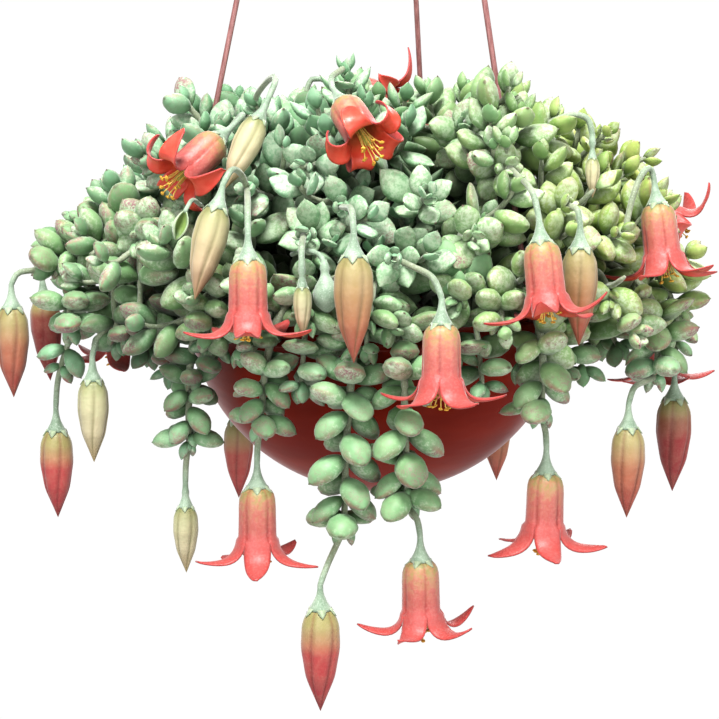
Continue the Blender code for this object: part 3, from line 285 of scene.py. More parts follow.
# Distance along the axis and radius of a bell's tube
BELL_ROWS = ((0.3, 3.7), (0.8, 4.8), (1.6, 5.7), (2.8, 6.4), (4.6, 6.85), (7.5, 7.05), (12.0, 7.1),
             (16.0, 7.2), (19.0, 7.3))
BELL_SIDES = 50
BELL_LENGTH = TUBE_H + LOBE_LENGTH
LOBE_ACROSS = 10
LOBE_ROWS = 15
PETAL_THICK = 0.6
PETAL_START = 7.0
PETAL_SWEEP = 90.0
PETAL_HALF = 4.6
BUD_SIDES = 40
BUD_STEPS = 22
# Distance before the calyx's foot and radius, from its waist to its rim
CALYX_ROWS = ((9.5, 1.1), (7.6, 1.2), (5.9, 1.5), (4.4, 1.95), (3.1, 2.5), (1.9, 3.15), (0.8, 3.8),
              (0.0, 4.1), (-0.25, 3.7))
STALK_RING = 15
# Sepals: along the axis, distance from it and half width
BELL_SEPAL = ((-0.7, 3.8, 1.7), (0.3, 4.35, 1.5), (1.0, 5.25, 0.9), (1.8, 6.05, 0.1))
BUD_SEPAL = ((-0.7, 3.85, 1.7), (0.3, 4.5, 1.5), (1.2, 5.1, 0.9), (2.1, 5.65, 0.1))

# How far each bud has coloured, from 0, green, to 1, red to its base
RIPE = {"bud_far_left": 0.55, "bud_left_behind": 1.0, "bud_left_low": 0.85, "bud_top_left": 0.06,
        "bud_left_middle": 0.13, "bud_centre": 0.38, "bud_right_middle": 0.34, "bud_right_low": 0.55,
        "bud_far_right": 0.95, "bud_low_front": 0.78, "bud_back_left": 0.7, "bud_back_right": 0.5}

# At the front: a calyx whose bell has dropped, with the distance along its axis and radius of its rows, an
# opened pod, and young leaves, each with its place, its way, the way across it and its length
BARE_NODE = "stems_top_left"
BARE_STALK = ((-33.0, -80.0, 27.0), (-28.0, -96.0, 30.0), (-22.0, -103.0, 29.0), (-20.0, -106.0, 25.5))
BARE_AXIS = (0.06, -0.18, -1.0)
BARE_ROWS = ((-2.0, 0.9), (0.0, 1.5), (1.2, 1.9), (2.2, 1.7), (3.4, 1.6), (5.0, 2.3), (7.5, 3.9), (10.0, 4.9),
             (12.0, 5.1), (14.0, 4.5), (15.6, 3.2), (16.8, 1.9), (17.6, 0.8))
POD_ROOT = (-68.0, -80.0, 46.0)
POD_TOP = (-72.0, -99.5, 45.0)
POD_AXIS = (-0.30, -0.32, -0.95)
POD_LENGTH = 11.5
POD_R = 2.9
POD_SKIN = 0.75
LONG_LEAVES = (((27.0, -90.0, 13.0), (-0.12, -0.3, 1.0), (0.95, -0.2, 0.05), 22.0),
               ((31.0, -89.0, 12.0), (0.55, -0.3, 0.85), (0.8, 0.1, -0.5), 20.0),
               ((28.0, -97.0, 13.0), (-0.55, -0.35, 0.8), (0.8, -0.3, 0.45), 9.5),
               ((29.5, -97.0, 13.5), (0.12, -0.4, 0.95), (0.95, 0.2, -0.05), 10.0))

# Shoots that rise in front of the strands, which part the foliage there
COVER_TIPS = ((46.0, -70.0, 80.0), (53.0, -72.0, 68.0), (39.0, -74.0, 66.0), (58.0, -64.0, 79.0),
              (49.0, -62.0, 90.0), (-60.0, -36.0, 88.0), (-66.0, -34.0, 76.0), (-52.0, -44.0, 76.0),
              (-68.0, -26.0, 92.0))
COVER_WAY = (0.05, -0.7, 0.7)

# A bell behind the top edge of the foliage, which only the looks have, with its stalk
BEHIND = ("flower_behind_top", "stems_back_left", (-16.5, 37.0, 89.5), (0.80, -0.25, -0.25), 20, False)
BEHIND_STALK = ((-26.0, 28.0, 60.0), (-32.0, 36.0, 78.0), (-30.0, 40.0, 91.0), (-25.2, 39.7, 92.2),
                (-20.2, 38.2, 90.7), (-16.5, 37.0, 89.5))

# Blooms that leaves may not hide: the front's flowers, and the buds that don't stand behind or at the back
IN_SIGHT = [row for row in FLOWERS[:9] + BUDS if not row[0].endswith("behind") and "_back_" not in row[0]]

# Room: the floor's drop below the rim and radius in metres, the surround's brightness by the height looked
# at, from -1, down, to 1, up, and each lamp's place from the rim's centre, width and power
FLOOR_DROP = 1.25
FLOOR_R = 2.3
SURROUND = ((-0.56, 0.3), (-0.48, 1.0), (0.14, 1.0), (0.28, 0.32), (1.0, 0.38))
SURROUND_STRENGTH = 1.02
GAMMA = 0.86
LAMPS = (("key", (-0.08, -0.72, 1.45), 0.6, 64.0), ("fill", (1.3, -1.0, 0.2), 1.0, 13.0),
         ("front", (-0.6, -1.5, 0.3), 1.2, 16.0), ("back", (0.3, 1.4, 0.8), 1.0, 13.0))

# Camera: as far from the bowl and as high above it as in the photograph, with the photograph's width in
# pixels, the metres that a pixel spans at the bowl and the pixel where the rim's centre falls
VIEW_DISTANCE = 0.9
VIEW_HEIGHT = 6.5
VIEW_PIXELS = 719.0
PIXEL = 0.000421
RIM_AT = (378.5, 301.0)
SENSOR = 36.0
EYE = 1000.0 * VIEW_DISTANCE * np.array([0.0, -math.cos(math.radians(VIEW_HEIGHT)),
                                         math.sin(math.radians(VIEW_HEIGHT))])

# The rim's centre in metres and in millimetres, marks that say nothing, and the way up
RIM = Vector((0.0, 0.0, RIM_Z / 1000.0))
LIFT = np.array([0.0, 0.0, RIM_Z])
PLAIN = (0.0, 0.0, 0.0, 0.0)
UP = np.array([0.0, 0.0, 1.0])


class Run:
    """One stem or flower stalk: the points of its centre line and what grows on it."""

    def __init__(self, node, points, radii, pairs=0, leaf=0.0, parent=None, fixed_ends=(0, 0)):
        self.node = node
        self.points = points
        self.radii = radii
        self.pairs = pairs
        self.leaf = leaf
        self.parent = parent
        self.fixed_ends = fixed_ends
        self.line = None


def unit(vector):
    """The vector at length one."""
    vector = np.asarray(vector, float)
    return vector / np.linalg.norm(vector)


def swing(first, second, angle):
    """The way that lies at an angle from the first of two ways, towards the second."""
    return first * math.cos(angle) + second * math.sin(angle)


def level_way(angle):
    """The level way at an angle round the bowl."""
    return np.array([math.cos(angle), math.sin(angle), 0.0])


def step_between(low, high, value):
    """0 below low, 1 above high and smooth between."""
    t = min(max((value - low) / (high - low), 0.0), 1.0)
    return t * t * (3.0 - 2.0 * t)


def lengths_along(points):
    """How far each point of a line lies along it."""
    return np.concatenate([[0.0], np.cumsum(np.linalg.norm(np.diff(points, axis=0), axis=1))])


def frames(points):
    """The tangents of a line and two normals at each of its points, which don't twist."""
    slopes = np.gradient(points, axis=0)
    tangents = slopes / np.linalg.norm(slopes, axis=1)[:, None]
    hint = (0.0, 1.0, 0.0) if abs(tangents[0][1]) < 0.9 else (1.0, 0.0, 0.0)
    normal = np.cross(tangents[0], hint)
    normals = []
    for tangent in tangents:
        normal = unit(normal - tangent * np.dot(normal, tangent))
        normals.append(normal)
    return tangents, np.array(normals), np.cross(tangents, normals)


def smooth(points, step):
    """Points about step apart along a smooth curve through the given points."""
    inner = np.array(points, float)
    ends = np.vstack([2 * inner[0] - inner[1], inner, 2 * inner[-1] - inner[-2]])
    curve = []
    for a, b, c, d in zip(ends, ends[1:], ends[2:], ends[3:]):
        for t in np.linspace(0, 1, 16, endpoint=False):
            curve.append(0.5 * (2 * b + (c - a) * t + (2 * a - 5 * b + 4 * c - d) * t * t
                                + (3 * b - a - 3 * c + d) * t ** 3))
    curve = np.array(curve + [inner[-1]])
    run = lengths_along(curve)
    at = np.linspace(0.0, run[-1], max(2, round(run[-1] / step)) + 1)
    return np.column_stack([np.interp(at, run, curve[:, k]) for k in range(3)])


def bezier(start, first, second, end, count):
    """Points along a curve that leaves start towards first and comes to end from second."""
    steps = np.linspace(0.0, 1.0, count)[:, None]
    return (start * (1 - steps) ** 3 + first * 3 * steps * (1 - steps) ** 2
            + second * 3 * steps ** 2 * (1 - steps) + end * steps ** 3)


class Line:
    """A smooth centre line with a frame at every place along it that doesn't twist."""

    def __init__(self, points):
        self.points = smooth(points, LINE_STEP)
        self.lengths = lengths_along(self.points)
        self.tangents, self.normals, self.others = frames(self.points)
        nearest = [int(np.argmin(np.linalg.norm(self.points - point, axis=1))) for point in points]
        self.knots = self.lengths[nearest]

    def at(self, length):
        """The point, tangent and two normals at a length along the line."""
        near = int(np.argmin(abs(self.lengths - length)))
        point = np.array([np.interp(length, self.lengths, self.points[:, k]) for k in range(3)])
        return point, self.tangents[near], self.normals[near], self.others[near]


def flower_axes(axis):
    """The bell's unit axis and two directions across it."""
    axis = unit(axis)
    across = unit(np.cross(axis, (0.0, 1.0, 0.2)))
    return axis, across, np.cross(axis, across)


def lobe_path(radius, headings, count):
    """A lobe's centre line as rows of radius, distance along the bell's axis and heading in radians."""
    fine = len(headings) - 1
    along = TUBE_H
    rows = [(radius, along, headings[0])]
    for heading in headings[1:]:
        radius += math.sin(heading) * LOBE_LENGTH / fine
        along += math.cos(heading) * LOBE_LENGTH / fine
        rows.append((radius, along, heading))
    return [rows[round(k * fine / count)] for k in range(count + 1)]


def lobe_line(curl, count, fine=40):
    """The centre line of one of the solids' lobes."""
    turns = [0.0] + [((k + 0.5) / fine) ** 0.9 for k in range(fine)]
    headings = [math.radians(LOBE_START + (LOBE_SWEEP + curl) * turn) for turn in turns]
    return lobe_path(MOUTH_R - PETAL_WALL / 2, headings, count)


def lobe_curls(flower):
    """The curl of each of the flower's lobes, in degrees."""
    draw = random.Random(flower[0])
    return [flower[4] + draw.uniform(-12.0, 22.0) for _ in range(LOBES)]


def flower_spin(flower):
    """The angle by which the bell is turned about its axis."""
    return random.Random(flower[0] + " spin").uniform(0.0, 2 * math.pi / LOBES)


def flower_balls(flower):
    """Balls that cover an open flower and its calyx."""
    axis, across, other = flower_axes(flower[3])
    foot = np.array(flower[2], float)
    balls = [(foot + axis * d, r) for d, r in BELL_BALLS]
    for k, curl in enumerate(lobe_curls(flower)):
        out = swing(across, other, flower_spin(flower) + 2 * math.pi * (k + 0.5) / LOBES)
        for n, (radius, along, _) in enumerate(lobe_line(curl, 5)[1:]):
            balls.append((foot + axis * along + out * radius, 3.6 if n < 4 else 1.5))
    return balls


def bud_balls(bud):
    """Balls that cover a bud."""
    foot, axis, size = np.array(bud[2], float), unit(bud[3]), bud[4]
    return [(foot + axis * d * size, r * size) for d, r in BUD_BALLS]


def bloom_balls(row):
    """Balls that cover a flower or a bud."""
    return flower_balls(row) if row in FLOWERS else bud_balls(row)


def strand_line(angle):
    """A strand's centre line, from under its lug, through the hole and straight up to the hub."""
    out = level_way(math.radians(angle))
    top = out * STRAND_SPREAD + UP * (HUB_ABOVE_RIM + SOCKET_DEPTH)
    bend = out * LUG_AT + UP * 3.0
    start = bend + unit(top - bend) * 8.0
    return np.array([out * LUG_AT + UP * (LUG_BOTTOM - FIT), bend, start, (start + top) / 2, top])


def hanger_balls():
    """Balls along the strands and over the lugs, as far up as the plant reaches."""
    balls = []
    for angle in STRAND_ANGLES:
        line = strand_line(angle)
        way = unit(line[-1] - line[1])
        balls += [(line[1] + way * d, STRAND_R + 0.3) for d in np.arange(0.0, 150.0, 2.0)]
        balls.append((line[0] + UP * 1.5, LUG_R + 1.5))
    return balls


def bowl_distance(points):
    """How far points lie outside the bowl, taken as half a ball that is full to its rim."""
    reach = np.linalg.norm(points, axis=1) - (BOWL_R + BAND_OUT + 0.7)
    return np.maximum(reach, points[:, 2] - 0.5)


def bowl_outward(points):
    """The unit directions that lead away from the bowl."""
    outward = points / np.linalg.norm(points, axis=1)[:, None]
    reach = np.linalg.norm(points, axis=1) - (BOWL_R + BAND_OUT + 0.7)
    above = points[:, 2] - 0.5 > reach
    outward[above] = (0.0, 0.0, 1.0)
    return outward


def nearest_on(runs, node, point):
    """The run and the place on it, among one node's leafy stems, that lie nearest to a point."""
    best = None
    for number, run in enumerate(runs):
        if run.node != node or not run.pairs:
            continue
        gaps = np.linalg.norm(run.points - np.asarray(point, float), axis=1)
        gaps[:3 if run.parent is None else 1] = 1e6
        place = int(np.argmin(gaps))
        if best is None or gaps[place] < best[0]:
            best = (gaps[place], number, place)
    return best[1], best[2]


def arch(start, neck, axis):
    """A stalk's points, from the stem in one easy bend to the neck of a calyx that hangs along axis."""
    reach = np.linalg.norm(neck - start)
    rise = max(neck[2] - start[2] + 6.0, 0.0)
    first = start + (neck - start) * 0.25 + UP * (0.6 * rise)
    second = neck - axis * max(7.0, 0.4 * reach)
    return bezier(start, first, second, neck, max(3, round((reach + rise) / 9.0)) + 1)


def bloom_size(row):
    """A bud's size; every flower has size 1."""
    return row[4] if row in BUDS else 1.0


def make_runs():
    """All stems and stalks, before they are bent clear of each other."""
    runs = []
    started = set()
    for node, points, pairs, leaf in SHOOTS:
        if node in started:
            parent = nearest_on(runs, node, points[0])
            start = runs[parent[0]].points[parent[1]]
            line = smooth([start] + points[1:], STEM_STEP)
            radii = np.linspace(STEM_R, 0.75 * STEM_R, len(line))
            runs.append(Run(node, line, radii, pairs, leaf, parent, (1, 0)))
        else:
            started.add(node)
            x, y, _ = points[0]
            root = np.array([(x, y, ROOT_BOTTOM), (x, y, SOIL_TOP - 1.0)])
            line = np.vstack([root, smooth([(x, y, 3.0)] + points[1:], STEM_STEP)])
            radii = np.linspace(TRUNK_R, 0.6 * TRUNK_R, len(line))
            radii[:3] = TRUNK_R
            runs.append(Run(node, line, radii, pairs, leaf, None, (3, 0)))
    leafy = len(runs)
    for row in FLOWERS + BUDS:
        foot = np.array(row[2], float)
        axis = unit(row[3])
        neck = foot - axis * CALYX_H
        parent = nearest_on(runs[:leafy], row[1], neck - axis * PARENT_REACH)
        start = runs[parent[0]].points[parent[1]]
        line = np.vstack([arch(start, neck, axis), foot - axis * WAIST_H, foot])
        radii = np.full(len(line), STALK_R)
        radii[-2:] = (WAIST_R * bloom_size(row), CALYX_R * bloom_size(row))
        runs.append(Run(row[1], line, radii, parent=parent, fixed_ends=(1, 3)))
    return runs


def obstacles():
    """Balls of the flowers, buds and hanger, each with the number of the stalk that ends in it."""
    centres, radii, owners = [], [], []
    for number, row in enumerate(FLOWERS + BUDS):
        balls = bloom_balls(row)
        centres += [centre for centre, _ in balls]
        radii += [radius for _, radius in balls]
        owners += [len(SHOOTS) + number] * len(balls)
    for centre, radius in hanger_balls():
        centres.append(centre)
        radii.append(radius)
        owners.append(-1)
    return np.array(centres), np.array(radii), np.array(owners)


def neighbours(a, b, allowed):
    """The allowed pairs of points a and b that may come close in the next few turns."""
    squares = (a ** 2).sum(1)[:, None] + (b ** 2).sum(1)[None] - 2 * a @ b.T
    return np.nonzero(allowed & (squares < NEAR ** 2))


def push_apart(a, b, pairs, need):
    """The moves that take points a away from points b wherever they are closer than needed."""
    first, second = pairs
    away = a[first] - b[second]
    gaps = np.maximum(np.linalg.norm(away, axis=1), 1e-6)
    move = np.zeros_like(a)
    np.add.at(move, first, away / gaps[:, None] * np.maximum(need[first, second] - gaps, 0.0)[:, None])
    return move


def curvature(points, firsts, counts):
    """How far the middle of each three points lies from its neighbours' middle, doubled."""
    bend = np.zeros_like(points)
    for first, count in zip(firsts, counts):
        line = points[first:first + count]
        bend[first + 1:first + count - 1] = line[:-2] + line[2:] - 2 * line[1:-1]
    return bend


def samples(runs, firsts):
    """Places along the runs: the points before and after each, and its share of the way between them."""
    rows = []
    for first, run in zip(firsts, runs):
        last = first + len(run.points) - 1
        rows += [(k, k + 1, share) for k in range(first, last) for share in (0.0, 0.33, 0.67)]
        rows.append((last - 1, last, 1.0))
    low, high, part = zip(*rows)
    return np.array(low), np.array(high), np.array(part)[:, None]


def free_points(runs):
    """Whether each of the runs' points may move."""
    free = []
    for run in runs:
        start, end = run.fixed_ends
        free += [False] * start + [True] * (len(run.points) - start - end) + [False] * end
    return np.array(free)


def bend_clear(runs, turns=80, refresh=8):
    """Moves the stems' free points until stems of different nodes, flowers, strands and bowl are clear."""
    counts = [len(run.points) for run in runs]
    firsts = np.concatenate([[0], np.cumsum(counts)[:-1]])
    points = np.vstack([run.points for run in runs])
    free = free_points(runs)
    low, high, part = samples(runs, firsts)
    owner = np.searchsorted(firsts, low, side="right") - 1
    names = sorted({run.node for run in runs})
    group = np.array([names.index(run.node) for run in runs])[owner]
    radii = np.concatenate([run.radii for run in runs])
    thick = radii[low] * (1 - part[:, 0]) + radii[high] * part[:, 0]
    centres, ball_radii, owners = obstacles()
    apart = group[:, None] != group[None]
    ends = firsts + np.array(counts) - np.array([run.fixed_ends[1] for run in runs]) - 1
    not_own = (owner[:, None] != owners[None]) | (low < ends[owner])[:, None]
    drawn = curvature(points, firsts, counts)
    stem_need = thick[:, None] + thick[None] + STEM_GAP
    ball_need = thick[:, None] + ball_radii[None] + BALL_GAP
    for number in range(turns):
        spots = points[low] * (1 - part) + points[high] * part
        if number % refresh == 0:
            stem_pairs = neighbours(spots, spots, apart)
            ball_pairs = neighbours(spots, centres, not_own)
        move = 0.5 * push_apart(spots, spots, stem_pairs, stem_need)
        move += push_apart(spots, centres, ball_pairs, ball_need)
        sunk = np.maximum(thick + BALL_GAP - bowl_distance(spots), 0.0)
        sunk[(spots[:, 2] < 1.5) & (np.hypot(spots[:, 0], spots[:, 1]) < BOWL_R - 12.0)] = 0.0
        move += bowl_outward(spots) * sunk[:, None]
        shift = np.zeros_like(points)
        np.add.at(shift, low, move * (1 - part))
        np.add.at(shift, high, move * part)
        bend = STIFFNESS * (curvature(points, firsts, counts) - drawn)
        points[free] += np.clip(PUSH * shift + bend, -MOST_MOVE, MOST_MOVE)[free]
        for first, run in zip(firsts, runs):
            if run.parent:
                points[first] = points[firsts[run.parent[0]] + run.parent[1]]
    for first, run in zip(firsts, runs):
        run.points = points[first:first + len(run.points)].copy()
        run.line = Line(run.points)


class Crowd:
    """A growing table of the balls that new leaves keep clear of, with the node that each belongs to."""

    def __init__(self, runs, names):
        self.count = 0
        self.centres, self.radii = np.zeros((MOST_BALLS, 3)), np.zeros(MOST_BALLS)
        self.groups = np.zeros(MOST_BALLS, int)
        centres, radii, _ = obstacles()
        self.add(centres, radii, HARD)
        for run in runs:
            thick = np.interp(run.line.lengths, run.line.knots, run.radii)
            self.add(run.line.points, thick, names.index(run.node))
        self.leaves_from = self.count
        self.seen, self.seen_radii = blooms_in_sight()

    def add(self, centres, radii, group=0):
        """Adds balls of a leafy node, by its number, or of a bloom or the hanger, as HARD."""
        new = slice(self.count, self.count + len(radii))
        self.centres[new], self.radii[new], self.groups[new] = centres, radii, group
        self.count = new.stop

    def far_enough(self, centres, need):
        """Whether balls keep the distances that they need."""
        gaps = np.linalg.norm(self.centres[:self.count][None] - centres[:, None], axis=2)
        return bool(np.all(gaps >= need))

    def clear(self, centres, radii, group):
        """Whether balls of one node keep the gap to every other node and to the bowl."""
        if np.any(bowl_distance(centres) < radii * 0.9 + LEAF_GAP):
            return False
        own = self.groups[:self.count] == group
        need = self.radii[:self.count][None] + radii[:, None] + LEAF_GAP
        need[:, own] *= SAME_NODE
        need[:, own & (np.arange(self.count) < self.leaves_from)] = 0.0
        return self.far_enough(centres, need)

    def room(self, centres, radii, snug):
        """Whether there is room for a leaf that may cross stems and press others by the share 1 - snug."""
        if np.any(bowl_distance(centres) < radii * 0.85 + 0.2):
            return False
        plant = self.groups[:self.count] != HARD
        need = self.radii[:self.count][None] + radii[:, None]
        need = np.where(plant[None], need * snug, need + 0.4)
        need[:, plant & (np.arange(self.count) < self.leaves_from)] = 0.0
        return self.far_enough(centres, need) and not self.hides(centres, radii)

    def hides(self, centres, radii):
        """Whether balls come between the viewer and a bloom."""
        sight = self.seen - EYE
        far = np.linalg.norm(sight, axis=1)
        sight = sight / far[:, None]
        offset = centres - EYE
        along = offset @ sight.T
        aside = np.sqrt(np.maximum((offset ** 2).sum(1)[:, None] - along ** 2, 0.0))
        covers = aside < 0.75 * (radii[:, None] + self.seen_radii[None])
        return bool(np.any(covers & (along < far[None])))

    def blocks(self, line, radius):
        """Whether a shoot's line would cross a bell, a bud, a strand or the bowl."""
        hard = np.flatnonzero(self.groups[:self.count] == HARD)
        gaps = np.linalg.norm(self.centres[hard][None] - line[:, None], axis=2)
        crossed = np.any(gaps < self.radii[hard][None] + radius)
        return bool(crossed or np.any(bowl_distance(line) < radius * 0.5))


def leaf_balls(leaf):
    """Three balls that cover a leaf."""
    base, way, _, length = leaf
    width = length * LEAF_WIDTH
    centres = np.array([base + way * length * t for t in (0.32, 0.54, 0.76)])
    return centres, width * np.array([0.92, 1.0, 0.82])


def side_leaf(frame, angle, tilt, offset, length, lift=False):
    """A leaf that leaves a stem at an angle round it; with lift, one on a hanging stem turns to the light."""
    spot, tangent, normal, other = frame
    out = swing(normal, other, angle)
    way = swing(tangent, out, tilt)
    if lift:
        way = way + UP * (0.75 * step_between(0.1, -0.7, tangent[2]))
    way = unit(way)
    return spot + out * offset, way, unit(np.cross(tangent, way)), length


def leaves_of(run, number, crowd, group):
    """The run's opposite pairs from its tip back: each pair's place, its turn and its clear leaves."""
    draw = random.Random(1000 + number)
    turn = draw.uniform(0.0, math.pi)
    at = run.line.lengths[-1] - 2.0
    rows = []
    for pair in range(run.pairs):
        step = min(pair, len(PAIR_GAPS) - 1)
        if at < 8.0:
            break
        frame = run.line.at(at)
        row = [at, turn, None, None]
        for half in (0, 1):
            size = run.leaf * PAIR_SIZES[step] * draw.uniform(0.93, 1.07)
            tilt = math.radians(PAIR_TILTS[step] + draw.uniform(-5.0, 5.0))
            for scale, degrees in LEAF_TRIES:
                angle = turn + (pair + 2 * half) * math.pi / 2 + math.radians(degrees)
                leaf = side_leaf(frame, angle, tilt, 0.6, size * scale)
                if crowd.clear(*leaf_balls(leaf), group):
                    row[2 + half] = leaf
                    break
        for leaf in row[2:]:
            if leaf:
                crowd.add(*leaf_balls(leaf), group)
        rows.append(row)
        at -= PAIR_GAPS[step] * run.leaf / 15.0
        turn += draw.uniform(-0.2, 0.2)
    return rows


def lay_out():
    """The stems and stalks, bent clear, each leafy stem's pairs of leaves, and the crowd of them all."""
    runs = make_runs()
    bend_clear(runs)
    names = sorted({run.node for run in runs})
    crowd = Crowd(runs, names)
    pairs = []
    for number, run in enumerate(runs):
        pairs.append(leaves_of(run, number, crowd, names.index(run.node)) if run.pairs else [])
    behind = flower_balls(BEHIND) + [(spot, 2.0) for spot in BEHIND_STALK[1:]]
    crowd.add([centre for centre, _ in behind], [radius for _, radius in behind], HARD)
    return runs, pairs, crowd


def new_object(name, data):
    """An object in the scene."""
    made = bpy.data.objects.new(name, data)
    bpy.context.scene.collection.objects.link(made)
    return made


def turn_to(thing, target):
    """Turns a lamp or a camera to face a place."""
    thing.rotation_euler = (target - thing.location).to_track_quat("-Z", "Y").to_euler()


class Piece:
    """Points and faces in millimetres from the rim's centre, with the marks that its materials read."""

    def __init__(self):
        self.points = []
        self.faces = []
        self.marks = []
        self.more = []
        self.slots = []
        self.count = 0

    def add(self, points, faces, marks=PLAIN, more=PLAIN, slot=0):
        """Adds a patch: marks and more hold four numbers for each point, or for all of them."""
        points = np.asarray(points, float)
        self.points.append(points)
        self.marks.append(np.broadcast_to(marks, (len(points), 4)))
        self.more.append(np.broadcast_to(more, (len(points), 4)))
        self.faces += [tuple(k + self.count for k in face) for face in faces]
        self.slots += [slot] * len(faces)
        self.count += len(points)

    def make(self, name, materials, replaced=()):
        """Makes the object, which rides on the only body."""
        mesh = bpy.data.meshes.new(name)
        metres = (np.vstack(self.points) + LIFT) / 1000.0
        mesh.from_pydata(metres.tolist(), [], self.faces)
        for layer, rows in (("marks", self.marks), ("more", self.more)):
            data = mesh.attributes.new(layer, "FLOAT_COLOR", "POINT").data
            data.foreach_set("color", np.vstack(rows).astype(np.float32).ravel())
        mesh.polygons.foreach_set("material_index", self.slots)
        mesh.shade_smooth()
        for material in materials:
            mesh.materials.append(material)
        thing = new_object(name, mesh)
        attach(thing, "root")
        if replaced:
            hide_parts(*replaced)
        return thing


def ring_faces(rings, sides, first=0):
    """Quads between rings of points."""
    faces = []
    for ring in range(rings - 1):
        for k in range(sides):
            a = first + ring * sides + k
            b = first + ring * sides + (k + 1) % sides
            faces.append((a, b, b + sides, a + sides))
    return faces


def closed_faces(rings, sides):
    """Quads between rings of points, with a cap at both ends."""
    last = (rings - 1) * sides
    return [*ring_faces(rings, sides), tuple(range(sides))[::-1], tuple(range(last, last + sides))]


def fan(ring, tip):
    """Triangles from each two neighbours in a row of points to a tip."""
    return [(a, b, tip) for a, b in zip(ring, ring[1:])]


def round_points(outline, sides, centre=(0.0, 0.0, 0.0)):
    """Rings of points about an upright axis, from rows of radius and height."""
    ways = [level_way(2 * math.pi * k / sides) for k in range(sides)]
    return [centre + way * radius + UP * height for radius, height in outline for way in ways]


def leaf_forms():
    """Points of a plump and of a pointed leaf of length one, their faces and where each point lies."""
    plump, pointed, where = [], [], []
    for t, wide, narrow in LEAF_ROWS:
        for k in range(LEAF_SIDES):
            angle = 2 * math.pi * k / LEAF_SIDES
            side, up = math.cos(angle), math.sin(angle)
            lift = 0.05 * t * t
            deep, flat = (0.25, 0.10) if up > 0 else (0.31, 0.20)
            plump.append((t, side * wide * EGG_WIDTH, up * wide * deep + lift))
            pointed.append((t, side * narrow * POINTED_WIDTH, up * narrow * flat + lift * 2.2))
            where.append((t, abs(side), 0.5 + 0.5 * up))
    last = len(plump)
    plump.append((LEAF_TIP, 0.0, 0.05))
    pointed.append((LEAF_TIP, 0.0, 0.11))
    where.append((1.0, 0.0, 0.5))
    ring = list(range(last - LEAF_SIDES, last))
    faces = ring_faces(len(LEAF_ROWS), LEAF_SIDES) + fan(ring + ring[:1], last)
    faces.append(tuple(range(LEAF_SIDES))[::-1])
    return np.array(plump), np.array(pointed), faces, np.array(where)


LEAF_PLUMP, LEAF_POINTED, LEAF_FACES, LEAF_WHERE = leaf_forms()


def leaf_look(base, draw, young):
    """Blush, yellowness, blueness, pointedness and paleness of a leaf at a place on the plant; the paleness
    is partly painted light.
    """
    x, y, z = base
    right = step_between(25.0, 95.0, x) * step_between(-30.0, 20.0, z)
    yellow = 0.85 * right + 0.25 * draw.random() * step_between(-20, 40, x)
    centre = math.exp(-((x + 5.0) / 42.0) ** 2) * step_between(-5.0, 25.0, z) * step_between(20.0, -50.0, y)
    top_left = step_between(30.0, 60.0, z) * step_between(0.0, -50.0, x)
    blue = min(1.0, 0.8 * centre + 0.7 * top_left + 0.35 * young)
    left = step_between(-50.0, -95.0, x)
    hanging = step_between(12.0, -20.0, z)
    blush = 0.28 + 0.5 * left + 0.65 * hanging + 0.3 * step_between(70.0, 110.0, x)
    blush *= draw.uniform(0.25, 1.3)
    point = 0.15 + 0.85 * centre + 0.35 * young + 0.55 * step_between(55.0, 90.0, x) * step_between(30, 55, z)
    point = min(1.0, point * draw.uniform(0.75, 1.2))
    right_low = step_between(75.0, 95.0, x) * step_between(28.0, 5.0, z)
    blue = min(1.0, blue + 0.5 * hanging + 0.25 * left + 0.3 * right_low)
    # painted light, in part: the hanging, left-arm and right-low leaves get more pale bloom, which also
    # brightens parts that the lamps leave darker
    pale = max(hanging, 0.7 * left, 0.9 * right_low)
    return blush, yellow * (1.0 - 0.6 * centre), blue * (1.0 - 0.7 * right), point, pale


def painted_shade_depth(base):
    """1 for the leaves deep in the dome and under the left arm, which get painted shade, 0 for those outside.
    """
    x, _, z = base
    size = np.array([DOME[0], DOME[1], DOME[2] if z > 0 else 3.0 * DOME_UNDER])
    share = (np.abs(np.asarray(base) / size) ** DOME_POWER).sum() ** (1.0 / DOME_POWER)
    under_arm = step_between(-52.0, -68.0, x) * step_between(8.0, -4.0, z) * step_between(-42.0, -26.0, z)
    return max(step_between(0.84, 0.66, share), 0.75 * under_arm * step_between(-125.0, -105.0, x))


def add_leaf(piece, leaf, draw, young=0.0):
    """One fine leaf in the place of a plain one."""
    base, way, side, length = leaf
    up = np.cross(way, side)
    blush, yellow, blue, point, pale = leaf_look(base, draw, young)
    deep = painted_shade_depth(base)
    form = LEAF_PLUMP * (1.0 - point) + LEAF_POINTED * point
    flat = draw.random() < 0.1 and length > 13.0
    form = form * np.array([1.0, draw.uniform(0.93, 1.04) * (1.1 if flat else 1.0),
                            draw.uniform(0.9, 1.05) * (0.6 if flat else 1.0)])
    blush = blush + 0.35 if flat else blush
    points = base + length * (form[:, :1] * way + form[:, 1:2] * side + form[:, 2:] * up)
    # painted light and shade: pale leaves get a larger bloom share, and leaves deep in the foliage a negative
    # one that darkens them and lessens their bloom
    bloom_share_and_shade = draw.uniform(0.55 * pale, 1.0) * (1.0 - deep) - deep
    along, edge, height = LEAF_WHERE.T
    same = np.ones(len(form))
    marks = np.column_stack([along, blush * same, yellow * same, blue * same])
    more = np.column_stack([height, bloom_share_and_shade * same, edge, point * same])
    piece.add(points, LEAF_FACES, marks, more)


def tube_points(line, radii, sides):
    """Rings of points round a line."""
    line = np.asarray(line, float)
    _, normals, others = frames(line)
    angles = 2 * math.pi * np.arange(sides) / sides
    return np.vstack([centre + radius * (np.outer(np.cos(angles), normal) + np.outer(np.sin(angles), other))
                      for centre, radius, normal, other in zip(line, radii, normals, others)])


def add_tube(piece, line, radii, sides, marks=PLAIN, slot=0):
    """A closed round tube; one radius may stand for all."""
    radii = np.broadcast_to(radii, len(line))
    piece.add(tube_points(line, radii, sides), closed_faces(len(line), sides), marks, slot=slot)


